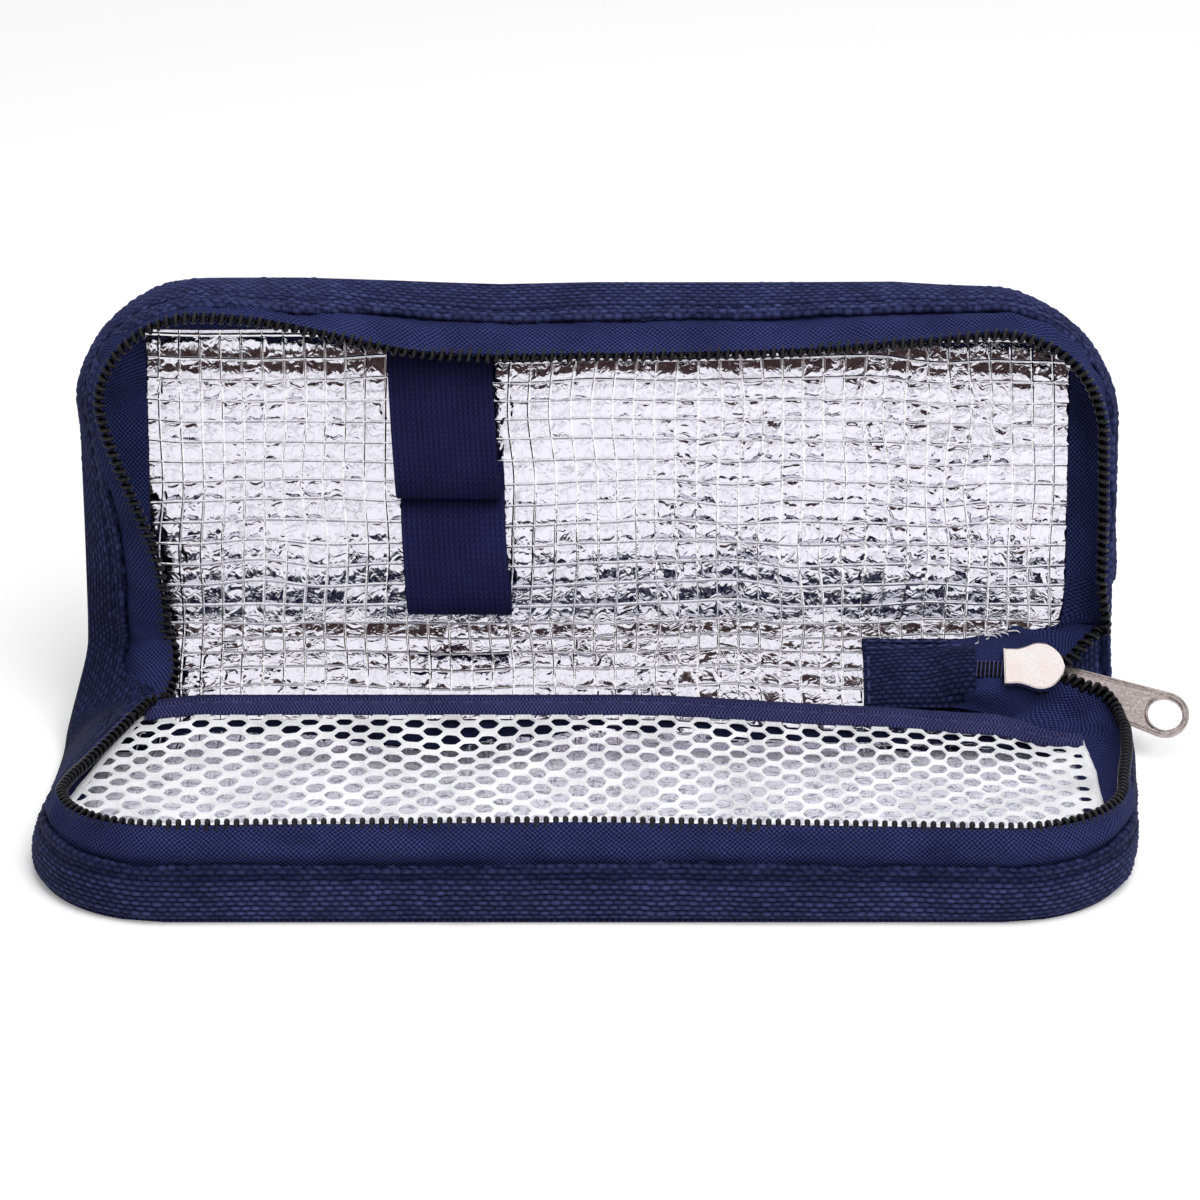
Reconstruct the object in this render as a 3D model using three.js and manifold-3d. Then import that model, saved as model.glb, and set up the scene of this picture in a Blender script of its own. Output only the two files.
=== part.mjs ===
// Zip-around cooling case for insulin pens, standing open.
// The base leaf lies flat and the lid leaf leans back.
// Millimetres, +Z up, X to the right along the spine, +Y away from the viewer.
// The origin is the middle of the base leaf's underside.
import * as THREE from 'three';
import Module from 'manifold-3d';

const wasm = await Module();
wasm.setup();

// Leaves and spine. The case folds along two lines, one on each side of the spine.
const LEAF_LENGTH = 71; // fold line to the front edge of a leaf
const HALF_RIGHT = 100; // middle to the right-hand edge, both leaves
const BASE_HALF_LEFT = 103; // the base leaf is spread a little wider on the left
const LID_HALF_LEFT = 99.5;
const CORNER_RADIUS = 26;
const SPINE_WIDTH = 24;
const FOLD = THREE.MathUtils.degToRad(41); // rest angle of each fold from flat

// Layers of the padded panel, from the outside in.
const COVER_THICK = 0.6;
const FOAM_THICK = 2.2;
const LINING_THICK = 0.4;
const LAYER_GAP = 0.25;
const FOLD_GAP = 0.3; // between panels at a fold line, on the outer skin
const MITRE = 0.95; // how far a panel's end draws back for each millimetre of depth, to let the case close

// Side wall: webbing binding at its foot, then zip tape, then the coil on its rim.
const SEAM_GAP = 0.3;
const BINDING_THICK = 2;
const BINDING_HEIGHT = 10;
const TAPE_THICK = 0.8;
const COIL_RADIUS = 1.4;
const COIL_WAIST = 1.05; // radius between two turns of the coil
const COIL_PITCH = 3.6;
const WALL_WIDTH = 18.4;
const RIM_AT_FOLD = 10.3; // greatest rim height over the outer skin, at the fold line
const RIM_RISE = 0.098; // and its rise towards the front
const RIM_LOWEST = 6.6;
const WALL_START = 14; // leaf walls begin here; nearer the spine the cloth folds with the case
// Inward lean of the rim: left fold, left corner, front, right corner, right fold.
const BASE_LEAN = [17, 4, 5.5, 1, -1];
const LID_LEAN = [17, 5, 9, 4, 3];
const SPINE_LEAN = 17.5;

// Mesh pocket in the base.
const NET_LEVEL = 8; // underside of the net over the outer skin
const NET_THICK = 0.7;
const NET_CELL = 4.4; // side of one six-sided mesh
const NET_STRAND = 1.3;
const NET_MARGIN = 4.6; // from the net's edge to the middle of the nearest mesh
const POCKET_MOUTH = 6; // distance from the fold
const POCKET_EDGE_WIDTH = 7;
const POCKET_EDGE_THICK = 1;

// Elastic band on the lid, sewn down in three places to make two pen loops.
const BAND_WIDTH = 20;
const BAND_THICK = 1.2;
const BAND_CENTRE = -28.5;
const BAND_SKEW = 0.06; // sideways drift for each millimetre down the lid
const BAND_TOP = 64;
const BAND_MIDDLE = 31;
const BAND_BOTTOM = 7;
const BAND_SEAM = 4; // flat stretch sewn down above a loop
const LOOP_RISE = 6.6; // how far a loop stands off the lining

// Zip end on the spine: a short closed tail under a cloth tab, the slider and its pull.
const ZIP_LINE = 13.3; // across the spine, from the lower fold
const SLIDER_INSET = 21.2; // slider's tail from the right-hand edge
const SLIDER_LENGTH = 12;
const SLIDER_TAIL = 6.9;
const SLIDER_SHOULDER = 9.5;
const SLIDER_PLATE = 1;
const SLIDER_CHANNEL = 2;
const SLIDER_FLANGE = 0.8;
const BRIDGE_WIDTH = 2.2;
const BRIDGE_THICK = 0.8;
const BRIDGE_SPACE = 1.65;
const PULL_THICK = 1.1;
const PULL_LENGTH = 24; // pivot to the middle of the finger ring
const PULL_EYE = 2.9;
const PULL_EYE_HOLE = 1.75;
const PULL_RING = 4.65;
const PULL_RING_HOLE = 3.35;
const PULL_RIM = 0.8;
const PULL_DROOP = THREE.MathUtils.degToRad(-20);
const TAIL_REACH = 18.8; // how far the tail runs in from the slider
const TAIL_WIDTH = 8.6;
const TAIL_TAPE = 0.6;
const TAIL_CHAIN_WIDTH = 4.8;
const TAIL_CHAIN_THICK = 1.4;
const TAB_LENGTH = 21;
const TAB_GAP = 5.8; // bare chain between the tab and the slider
const TAB_BELOW = 4.8; // tab's reach either side of the zip line
const TAB_ABOVE = 6.5;
const TAB_THICK = 1;
const END_COIL_RUN = 26; // coil from a leaf's wall to the slider
const MOUTH_TAPE = 6.6; // half-width across both tapes at the slider's mouth

// Sizes that follow from the ones above.
const PANEL_THICK = COVER_THICK + FOAM_THICK + LINING_THICK + 2 * LAYER_GAP;
const WALL_FOOT = PANEL_THICK + SEAM_GAP + BINDING_THICK / 2;
const PANEL_INSET = BINDING_THICK + SEAM_GAP;
const SIDE = LEAF_LENGTH - CORNER_RADIUS;
const BRIDGE_LOW = PANEL_THICK + 0.35;
const REAR_PLATE = BRIDGE_LOW + BRIDGE_THICK + BRIDGE_SPACE;
const ZIP_LEVEL = REAR_PLATE + SLIDER_PLATE + SLIDER_CHANNEL / 2;
const HALF_FOLD = FOLD / 2;
const SLIDER_START = HALF_RIGHT - SLIDER_INSET;
const TAIL_START = SLIDER_START - TAIL_REACH;
const TAB_END = SLIDER_START - TAB_GAP;
const TAB_START = TAB_END - TAB_LENGTH;

const NAVY_OXFORD = { color: 0x1c2247, roughness: 0.85, metalness: 0 };
const NAVY_WEBBING = { color: 0x202850, roughness: 0.9, metalness: 0 };
const NAVY_TAPE = { color: 0x1d2356, roughness: 0.85, metalness: 0 };
const BLACK_NYLON = { color: 0x14151b, roughness: 0.45, metalness: 0 };
const WHITE_FOAM = { color: 0xe8e8e4, roughness: 0.9, metalness: 0 };
const SILVER_FOIL = { color: 0xd8dadd, roughness: 0.25, metalness: 1 };
const WHITE_NET = { color: 0xf2f2f2, roughness: 0.8, metalness: 0 };
const NICKEL = { color: 0xc9c4bf, roughness: 0.3, metalness: 1 };

const group = new THREE.Group();

function addPiece(name, geometry, look) {
  const mesh = new THREE.Mesh(geometry, new THREE.MeshStandardMaterial(look));
  mesh.name = name;
  group.add(mesh);
}

// Where the leaves lie. Each takes a place across (x), away from the fold (v)
// and up from the outer skin (w).
function turned(start, angle) {
  return (x, v, w) => new THREE.Vector3(
    x,
    start.y + v * Math.cos(angle) - w * Math.sin(angle),
    start.z + v * Math.sin(angle) + w * Math.cos(angle),
  );
}

const lowerFold = new THREE.Vector3(0, LEAF_LENGTH / 2, 0);
const onBase = (x, v, w) => new THREE.Vector3(x, lowerFold.y - v, w);
const onSpine = turned(lowerFold, FOLD);
const upperFold = onSpine(0, SPINE_WIDTH, 0);
const onLid = turned(upperFold, 2 * FOLD);

// The plane half-way round a fold, in which cloth bends.
const onLowerBend = (x, v, w) => onSpine(x, w * Math.tan(HALF_FOLD), w);
const onUpperBend = (x, v, w) => onLid(x, w * Math.tan(HALF_FOLD), w);

const base = { left: BASE_HALF_LEFT, lean: BASE_LEAN, place: onBase };
const lid = { left: LID_HALF_LEFT, lean: LID_LEAN, place: onLid };

// Turns a closed mesh's faces outward.
function outward(geometry) {
  const p = geometry.attributes.position;
  const count = geometry.index ? geometry.index.count : p.count;
  const number = (i) => (geometry.index ? geometry.index.getX(i) : i);
  const at = (i) => new THREE.Vector3().fromBufferAttribute(p, number(i));
  let volume = 0;
  for (let i = 0; i < count; i += 3) {
    volume += at(i).dot(at(i + 1).cross(at(i + 2)));
  }
  if (volume < 0) {
    const order = Array.from({ length: count }, (_, i) => (geometry.index ? geometry.index.getX(i) : i));
    for (let i = 0; i < count; i += 3) {
      [order[i + 1], order[i + 2]] = [order[i + 2], order[i + 1]];
    }
    geometry.setIndex(order);
  }
  geometry.computeVertexNormals();
  return geometry;
}

// Moves every vertex of a geometry with a rule.
function mapped(geometry, rule) {
  const p = geometry.attributes.position;
  for (let i = 0; i < p.count; i += 1) {
    const to = rule(p.getX(i), p.getY(i), p.getZ(i));
    p.setXYZ(i, to.x, to.y, to.z);
  }
  return outward(geometry);
}

function extruded(shape, depth) {
  return new THREE.ExtrudeGeometry(shape, { depth, bevelEnabled: false, curveSegments: 10 });
}

// A skin through cross-sections. Each section lists one face's points, then the other face's
// points back again.
function loft(sections) {
  const n = sections[0].length;
  const last = (sections.length - 1) * n;
  const index = [];
  const quad = (a, b, c, d) => index.push(a, b, c, a, c, d);
  for (let s = 0; s < sections.length - 1; s += 1) {
    for (let i = 0; i < n; i += 1) {
      const j = (i + 1) % n;
      quad(s * n + i, s * n + j, (s + 1) * n + j, (s + 1) * n + i);
    }
  }
  for (let i = 0; i < n / 2 - 1; i += 1) {
    quad(n - 1 - i, n - 2 - i, i + 1, i);
    quad(last + i, last + i + 1, last + n - 2 - i, last + n - 1 - i);
  }
  const geometry = new THREE.BufferGeometry().setFromPoints(sections.flat());
  geometry.setIndex(index);
  return outward(geometry);
}

function solid(geometry) {
  const source = geometry.index ? geometry.toNonIndexed() : geometry;
  const mesh = new wasm.Mesh({
    numProp: 3,
    vertProperties: new Float32Array(source.attributes.position.array),
    triVerts: Uint32Array.from({ length: source.attributes.position.count }, (_, i) => i),
  });
  mesh.merge();
  return new wasm.Manifold(mesh);
}

function fromSolid(body) {
  const mesh = body.getMesh();
  const geometry = new THREE.BufferGeometry();
  geometry.setAttribute('position', new THREE.BufferAttribute(Float32Array.from(mesh.vertProperties), 3));
  geometry.setIndex(Array.from(mesh.triVerts));
  return geometry;
}

const joined = (geometries) => fromSolid(wasm.Manifold.union(geometries.map(solid)));

// Evenly spaced values from a to b.
function spread(a, b, steps) {
  return Array.from({ length: steps + 1 }, (_, i) => a + ((b - a) * i) / steps);
}

// The edge of a leaf, by distance s along it: left side, corner, front, corner, right side.
const CORNER_RUN = (CORNER_RADIUS * Math.PI) / 2;
const frontRun = (leaf) => leaf.left + HALF_RIGHT - 2 * CORNER_RADIUS;
const edgeRun = (leaf) => 2 * SIDE + 2 * CORNER_RUN + frontRun(leaf);

function edgePoint(leaf, s) {
  const front = frontRun(leaf);
  const cornerPoint = (centre, angle) => ({
    x: centre + CORNER_RADIUS * Math.cos(angle),
    v: SIDE + CORNER_RADIUS * Math.sin(angle),
    nx: -Math.cos(angle),
    nv: -Math.sin(angle),
  });
  if (s < SIDE) {
    return { x: -leaf.left, v: s, nx: 1, nv: 0 };
  }
  if (s < SIDE + CORNER_RUN) {
    return cornerPoint(CORNER_RADIUS - leaf.left, Math.PI - (s - SIDE) / CORNER_RADIUS);
  }
  if (s < SIDE + CORNER_RUN + front) {
    return { x: s - SIDE - CORNER_RUN + CORNER_RADIUS - leaf.left, v: LEAF_LENGTH, nx: 0, nv: -1 };
  }
  if (s < SIDE + 2 * CORNER_RUN + front) {
    return cornerPoint(HALF_RIGHT - CORNER_RADIUS, (SIDE + 2 * CORNER_RUN + front - s) / CORNER_RADIUS);
  }
  return { x: HALF_RIGHT, v: edgeRun(leaf) - s, nx: -1, nv: 0 };
}

// Stations along the edge, closer together round the corners.
function edgeStations(leaf, start) {
  const front = frontRun(leaf);
  const bend = SIDE + CORNER_RUN;
  return [
    ...spread(start, SIDE, 4),
    ...spread(SIDE, bend, 7).slice(1),
    ...spread(bend, bend + front, 12).slice(1),
    ...spread(bend + front, bend + front + CORNER_RUN, 7).slice(1),
    ...spread(bend + front + CORNER_RUN, edgeRun(leaf) - start, 4).slice(1),
  ];
}

// How far the wall's rim leans in at a place on the edge.
function leanAt(leaf, s) {
  const run = edgeRun(leaf);
  const corner = SIDE + 0.8 * CORNER_RADIUS;
  const places = [0, corner, run / 2, run - corner, run];
  const k = Math.min(places.findLastIndex((place) => place <= s), 3);
  const t = (s - places[k]) / (places[k + 1] - places[k]);
  const eased = k === 0 ? 1 - (1 - t) ** 1.6 : THREE.MathUtils.smoothstep(t, 0, 1);
  return THREE.MathUtils.lerp(leaf.lean[k], leaf.lean[k + 1], eased);
}

function rimHeight(v, lean) {
  const slack = Math.sqrt(Math.max(WALL_WIDTH ** 2 - lean ** 2, 0));
  return Math.max(RIM_LOWEST, Math.min(RIM_AT_FOLD + RIM_RISE * v, slack));
}

// One cross-section of the wall, as distances in from the edge (x) and up from the outer skin (y).
function wallSection(lean, rim, footHeight, bindingReach) {
  const foot = new THREE.Vector2(BINDING_THICK / 2, footHeight);
  const top = new THREE.Vector2(BINDING_THICK / 2 + lean, rim);
  const run = top.clone().sub(foot);
  const up = run.clone().normalize();
  const inward = new THREE.Vector2(up.y, -up.x);
  const reach = Math.min(bindingReach, 0.5 * (run.length() - COIL_RADIUS));
  const bend = new THREE.Vector2(1, 0).add(inward).multiplyScalar(BINDING_THICK / 2 / (1 + inward.x));
  const head = foot.clone().addScaledVector(up, reach);
  const binding = [
    new THREE.Vector2(0, 0),
    foot.clone().sub(bend),
    head.clone().addScaledVector(inward, -BINDING_THICK / 2),
    head.clone().addScaledVector(inward, BINDING_THICK / 2),
    foot.clone().add(bend),
    new THREE.Vector2(BINDING_THICK, 0),
  ];
  return { binding, low: head.clone().addScaledVector(up, SEAM_GAP), top };
}

// A station is one cross-section with the rule that puts its points on the case.
function leafStation(leaf, s) {
  const e = edgePoint(leaf, s);
  const lean = leanAt(leaf, s);
  const section = wallSection(lean, rimHeight(e.v, lean), WALL_FOOT, BINDING_HEIGHT - WALL_FOOT);
  return { section, put: (p) => leaf.place(e.x + e.nx * p.x, e.v + e.nv * p.x, p.y) };
}

const bindingLoft = (stations) => loft(stations.map(({ section, put }) => section.binding.map(put)));
const wallEdges = (stations) => stations.map(({ section, put }) => (
  { low: put(section.low), rim: put(section.top) }));

// Directions of a strip at one of its stations: up to the rim, and square to its face.
function stripAxes(edges, i) {
  const up = edges[i].rim.clone().sub(edges[i].low).normalize();
  const before = edges[Math.max(i - 1, 0)].rim;
  const after = edges[Math.min(i + 1, edges.length - 1)].rim;
  const face = after.clone().sub(before).cross(up).normalize();
  return { up, face };
}

// Zip tape between the binding and the coil.
function tapeLoft(edges) {
  return loft(edges.map(({ low, rim }, i) => {
    const { up, face } = stripAxes(edges, i);
    const high = rim.clone().addScaledVector(up, -COIL_RADIUS - SEAM_GAP);
    const off = face.multiplyScalar(TAPE_THICK / 2);
    return [low.clone().sub(off), high.clone().sub(off), high.clone().add(off), low.clone().add(off)];
  }));
}

// Nylon coil on the rim, thick at each turn and thin between turns.
function coilLoft(edges) {
  return loft(edges.map(({ rim }, i) => {
    const { up, face } = stripAxes(edges, i);
    const radius = i % 2 ? COIL_RADIUS : COIL_WAIST;
    const point = (u, f) => rim.clone().addScaledVector(up, u * radius).addScaledVector(face, f * radius);
    return [point(-1, 0), point(0, 1), point(1, 0), point(0, -1)];
  }));
}

// An even number of half-turns that fits a run of coil.
const coilSteps = (run) => 2 * Math.max(2, Math.round(run / COIL_PITCH));

// Flat outline of a leaf's panel inside the binding, with its fold end at v = 0.
function panelOutline(leaf) {
  return edgeStations(leaf, 0).map((s) => {
    const e = edgePoint(leaf, s);
    return new THREE.Vector2(e.x + e.nx * PANEL_INSET, e.v + e.nv * PANEL_INSET);
  });
}

// One layer of a padded panel. Its fold ends are drawn back along the mitre.
function layer(outline, place, low, thick, folds) {
  return mapped(extruded(new THREE.Shape(outline), thick), (x, v, w) => {
    const up = low + w;
    const back = FOLD_GAP + MITRE * up;
    const fold = folds.find((f) => Math.abs(f - v) < 1e-6);
    const drawn = fold === undefined ? v : v + (fold === 0 ? back : -back);
    return place(x, drawn, up);
  });
}

function addPanel(name, outline, place, folds) {
  const foamLow = COVER_THICK + LAYER_GAP;
  const liningLow = foamLow + FOAM_THICK + LAYER_GAP;
  addPiece(`${name}_cover`, layer(outline, place, 0, COVER_THICK, folds), NAVY_OXFORD);
  addPiece(`${name}_foam`, layer(outline, place, foamLow, FOAM_THICK, folds), WHITE_FOAM);
  addPiece(`${name}_lining`, layer(outline, place, liningLow, LINING_THICK, folds), SILVER_FOIL);
}

// The spine's left edge slants from the wider base to the lid.
const spineLeft = (q) => THREE.MathUtils.lerp(BASE_HALF_LEFT, LID_HALF_LEFT, q / SPINE_WIDTH);
const onSpinePanel = (x, v, w) => onSpine(x < 0 ? PANEL_INSET - spineLeft(v) : x, v, w);
const spineOutline = [
  new THREE.Vector2(PANEL_INSET - BASE_HALF_LEFT, 0),
  new THREE.Vector2(HALF_RIGHT - PANEL_INSET, 0),
  new THREE.Vector2(HALF_RIGHT - PANEL_INSET, SPINE_WIDTH),
  new THREE.Vector2(PANEL_INSET - LID_HALF_LEFT, SPINE_WIDTH),
];

addPanel('base', panelOutline(base), onBase, [0]);
addPanel('spine', spineOutline, onSpinePanel, [0, SPINE_WIDTH]);
addPanel('lid', panelOutline(lid), onLid, [0]);

// Walls of the two leaves.
for (const [name, leaf] of [['base', base], ['lid', lid]]) {
  const walls = edgeStations(leaf, WALL_START).map((s) => leafStation(leaf, s));
  const steps = coilSteps(edgeRun(leaf) - 2 * WALL_START);
  const turns = spread(WALL_START, edgeRun(leaf) - WALL_START, steps).map((s) => leafStation(leaf, s));
  addPiece(`${name}_binding`, bindingLoft(walls), NAVY_WEBBING);
  addPiece(`${name}_zip_tape`, tapeLoft(wallEdges(walls)), NAVY_TAPE);
  addPiece(`${name}_zip_coil`, coilLoft(wallEdges(turns)), BLACK_NYLON);
}

// Left end of the spine, where the wall lies folded inward over the lining.
function leftStation(edge, v, lean, place) {
  const section = wallSection(lean, rimHeight(v, lean), WALL_FOOT, BINDING_HEIGHT - WALL_FOOT);
  return { section, put: (p) => place(p.x - edge, v, p.y) };
}

function leftHalf(leaf, bend, fold, towards) {
  const onLeaf = [WALL_START - SEAM_GAP, WALL_START / 2];
  const onSpineSide = [6, SPINE_WIDTH / 2 - SEAM_GAP / 2];
  return [
    ...onLeaf.map((v) => leftStation(leaf.left, v, leanAt(leaf, v), leaf.place)),
    leftStation(leaf.left, 0, leaf.lean[0], bend),
    ...onSpineSide.map((q) => leftStation(spineLeft(fold + towards * q), 0, SPINE_LEAN, (x, v, w) => (
      onSpine(x, fold + towards * q, w)))),
  ];
}

const leftBase = leftHalf(base, onLowerBend, 0, 1);
const leftLid = leftHalf(lid, onUpperBend, SPINE_WIDTH, -1);

// Right end of the spine, where the wall opens out flat and the zip leaves it for the slider.
function rightStation(v, foot, reach, place) {
  const section = wallSection(0, WALL_WIDTH, foot, reach);
  return { section, put: (p) => place(HALF_RIGHT - p.x, v, p.y) };
}

function rightHalf(leaf, bend) {
  const edge = leafStation(leaf, edgeRun(leaf) - WALL_START + SEAM_GAP);
  const low = PANEL_THICK + 0.2;
  const between = rightStation(WALL_START / 2, (WALL_FOOT + low) / 2, 2.2, leaf.place);
  return [edge, between, rightStation(0, low, 0.7, bend)];
}

addPiece('spine_binding_left', bindingLoft([...leftBase, ...leftLid.toReversed()]), NAVY_WEBBING);
addPiece('spine_binding_right', bindingLoft([...rightHalf(base, onLowerBend),
  ...rightHalf(lid, onUpperBend).toReversed()]), NAVY_WEBBING);

// Smooth strip edges through a few places.
function smoothEdges(edges, steps) {
  const low = new THREE.CatmullRomCurve3(edges.map((e) => e.low));
  const rim = new THREE.CatmullRomCurve3(edges.map((e) => e.rim));
  return spread(0, 1, steps).map((t) => ({ low: low.getPoint(t), rim: rim.getPoint(t) }));
}

// Right-hand strips run from a leaf's wall, over the bend, to the slider's mouth.
function rightEdges(leaf, bend, towards) {
  const wall = wallEdges([leafStation(leaf, edgeRun(leaf) - WALL_START + SEAM_GAP)])[0];
  const mouth = SLIDER_START + SLIDER_LENGTH + SEAM_GAP;
  const across = (distance) => ZIP_LINE + towards * distance;
  return [
    wall,
    { low: bend(HALF_RIGHT - 2, 0, ZIP_LEVEL), rim: bend(HALF_RIGHT - 2.5, 0, ZIP_LEVEL + 3.2) },
    {
      low: onSpine(mouth + 4.2, across(MOUTH_TAPE + 0.4), ZIP_LEVEL),
      rim: onSpine(mouth + 3, across(3.4), ZIP_LEVEL + 1),
    },
    {
      low: onSpine(mouth + 1, across(MOUTH_TAPE), ZIP_LEVEL),
      rim: onSpine(mouth + 1, across(2.4), ZIP_LEVEL),
    },
  ];
}

const endStrips = [
  ['left_base', leftBase, null],
  ['left_lid', leftLid, null],
  ['right_base', null, rightEdges(base, onLowerBend, -1)],
  ['right_lid', null, rightEdges(lid, onUpperBend, 1)],
];
for (const [name, stations, edges] of endStrips) {
  const places = stations ? wallEdges(stations) : edges;
  addPiece(`zip_gusset_${name}`, tapeLoft(smoothEdges(places, 8)), NAVY_TAPE);
  addPiece(`zip_end_coil_${name}`, coilLoft(smoothEdges(places, coilSteps(END_COIL_RUN))), BLACK_NYLON);
}

// Mesh pocket: a flat net just inside the base's wall, with a bound edge along its mouth.
function wallInside(leaf, s, level) {
  const e = edgePoint(leaf, s);
  const lean = leanAt(leaf, s);
  const rim = rimHeight(e.v, lean);
  const share = Math.min((level - WALL_FOOT) / (rim - WALL_FOOT), 1);
  const slope = Math.hypot(lean, rim - WALL_FOOT) / (rim - WALL_FOOT);
  const skin = (BINDING_THICK / 2) * (1 + Math.min(slope, 2.4));
  const inset = Math.max(lean * share, 0) + skin + SEAM_GAP;
  return new THREE.Vector2(e.x + e.nx * inset, e.v + e.nv * inset);
}

const netTop = NET_LEVEL + NET_THICK;
const pocketEnd = POCKET_MOUTH + POCKET_EDGE_WIDTH;
const netStart = pocketEnd + SEAM_GAP;
const netOutline = edgeStations(base, netStart).map((s) => wallInside(base, s, netTop));
netOutline[0].y = netStart;
netOutline.at(-1).y = netStart;

function insideNet(x, v, margin) {
  const nearest = netOutline.reduce((least, a, i) => {
    const b = netOutline[(i + 1) % netOutline.length];
    const line = new THREE.Line3(new THREE.Vector3(a.x, a.y, 0), new THREE.Vector3(b.x, b.y, 0));
    const p = new THREE.Vector3(x, v, 0);
    return Math.min(least, line.closestPointToPoint(p, true, new THREE.Vector3()).distanceTo(p));
  }, Infinity);
  const crossings = netOutline.filter((a, i) => {
    const b = netOutline[(i + 1) % netOutline.length];
    return (a.y > v) !== (b.y > v) && x < a.x + ((b.x - a.x) * (v - a.y)) / (b.y - a.y);
  });
  return crossings.length % 2 === 1 && nearest > margin;
}

function meshHole(x, v) {
  const radius = NET_CELL - NET_STRAND / Math.sqrt(3);
  const corners = spread(0, 5, 5).map((k) => new THREE.Vector2(
    x + radius * Math.cos((k * Math.PI) / 3),
    v + radius * Math.sin((k * Math.PI) / 3),
  ));
  return new THREE.Path(corners);
}

const netShape = new THREE.Shape(netOutline);
const rowStep = (NET_CELL * Math.sqrt(3)) / 2;
for (let row = 0; row * rowStep < LEAF_LENGTH; row += 1) {
  for (let column = -16; column <= 16; column += 1) {
    const x = 3 * NET_CELL * (column + (row % 2) / 2);
    const v = netStart + NET_MARGIN + row * rowStep;
    if (insideNet(x, v, NET_MARGIN - 0.1)) {
      netShape.holes.push(meshHole(x, v));
    }
  }
}
const net = mapped(extruded(netShape, NET_THICK), (x, v, w) => onBase(x, v, NET_LEVEL + w));
addPiece('pocket_net', net, WHITE_NET);

// The mouth's ends stay clear of the zip where it folds in at the left and leaves the wall at the right.
const mouthLeft = BASE_LEAN[0] + BINDING_THICK / 2 + COIL_RADIUS + SEAM_GAP - BASE_HALF_LEFT;
const mouthRight = SLIDER_START + SLIDER_LENGTH + SEAM_GAP;
const pocketEdge = new THREE.Shape([
  new THREE.Vector2(mouthLeft, POCKET_MOUTH),
  new THREE.Vector2(mouthRight, POCKET_MOUTH),
  new THREE.Vector2(netOutline.at(-1).x - 1.5, pocketEnd),
  new THREE.Vector2(netOutline[0].x + 1.5, pocketEnd),
]);
const edgeLow = NET_LEVEL + (NET_THICK - POCKET_EDGE_THICK) / 2;
const mouthBinding = mapped(extruded(pocketEdge, POCKET_EDGE_THICK), (x, v, w) => (
  onBase(x, v, edgeLow + w)));
addPiece('pocket_edge', mouthBinding, NAVY_WEBBING);

// Elastic band: its middle line in the lid's (v, w) plane, thickened both ways and run across
// the band's width.
const bandLow = PANEL_THICK + SEAM_GAP + BAND_THICK / 2;
function loopLine(top, bottom) {
  const drop = top - bottom;
  return [
    [top, 0],
    [top - 0.06 * drop, 0.1],
    [top - 0.3 * drop, 0.72],
    [top - 0.6 * drop, 1],
    [top - 0.84 * drop, 0.94],
    [top - 0.95 * drop, 0.5],
  ].map(([v, share]) => new THREE.Vector3(v, bandLow + LOOP_RISE * share, 0));
}

const bandLine = new THREE.CatmullRomCurve3([
  new THREE.Vector3(BAND_TOP + BAND_SEAM, bandLow, 0),
  ...loopLine(BAND_TOP, BAND_MIDDLE),
  new THREE.Vector3(BAND_MIDDLE, bandLow, 0),
  ...loopLine(BAND_MIDDLE - BAND_SEAM, BAND_BOTTOM),
  new THREE.Vector3(BAND_BOTTOM, bandLow, 0),
  new THREE.Vector3(BAND_BOTTOM - 3, bandLow, 0),
], false, 'centripetal').getPoints(52);

function bandFace(side) {
  return bandLine.map((p, i) => {
    const before = bandLine[Math.max(i - 1, 0)];
    const after = bandLine[Math.min(i + 1, bandLine.length - 1)];
    const along = after.clone().sub(before).normalize();
    const level = Math.max(p.y + along.x * side, PANEL_THICK + SEAM_GAP);
    return new THREE.Vector2(p.x - along.y * side, level);
  });
}

const bandShape = new THREE.Shape([
  ...bandFace(BAND_THICK / 2),
  ...bandFace(-BAND_THICK / 2).toReversed(),
]);
addPiece('pen_band', mapped(extruded(bandShape, BAND_WIDTH), (v, w, x) => (
  onLid(BAND_CENTRE - BAND_WIDTH / 2 + x + BAND_SKEW * (LEAF_LENGTH / 2 - v), v, w))), NAVY_OXFORD);

// Zip tail: two tapes meshed together, rising from under the tab to the slider.
function tailLevel(x) {
  const under = PANEL_THICK + SEAM_GAP + TAIL_TAPE / 2;
  return THREE.MathUtils.lerp(under, ZIP_LEVEL, THREE.MathUtils.smoothstep(x, TAIL_START + 2, TAB_END));
}

function acrossZip(x, below, above, low, thick) {
  return [onSpine(x, ZIP_LINE - below, low), onSpine(x, ZIP_LINE - below, low + thick),
    onSpine(x, ZIP_LINE + above, low + thick), onSpine(x, ZIP_LINE + above, low)];
}

const tailTape = loft([...spread(TAIL_START, TAB_END, 8), SLIDER_START - 0.6].map((x) => (
  acrossZip(x, TAIL_WIDTH / 2, TAIL_WIDTH / 2, tailLevel(x) - TAIL_TAPE / 2, TAIL_TAPE))));
const tailChain = loft(spread(TAB_END + 0.3, SLIDER_START + 1.4, 10).map((x, i) => {
  const share = i % 2 ? 1 : 0.8;
  const half = (share * TAIL_CHAIN_WIDTH) / 2;
  const thick = share * TAIL_CHAIN_THICK;
  return acrossZip(x, half, half, ZIP_LEVEL - thick / 2, thick);
}));
addPiece('zip_tail', joined([tailTape, tailChain]), BLACK_NYLON);

// Cloth tab sewn over the tail's end.
const tab = loft([TAB_START, TAIL_START - 3, ...spread(TAIL_START, TAB_END, 8)].map((x) => {
  const low = x < TAIL_START ? PANEL_THICK + SEAM_GAP : tailLevel(x) + TAIL_TAPE / 2 + SEAM_GAP;
  return acrossZip(x, TAB_BELOW, TAB_ABOVE, low, TAB_THICK);
}));
addPiece('zip_end_tab', tab, NAVY_OXFORD);

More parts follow.
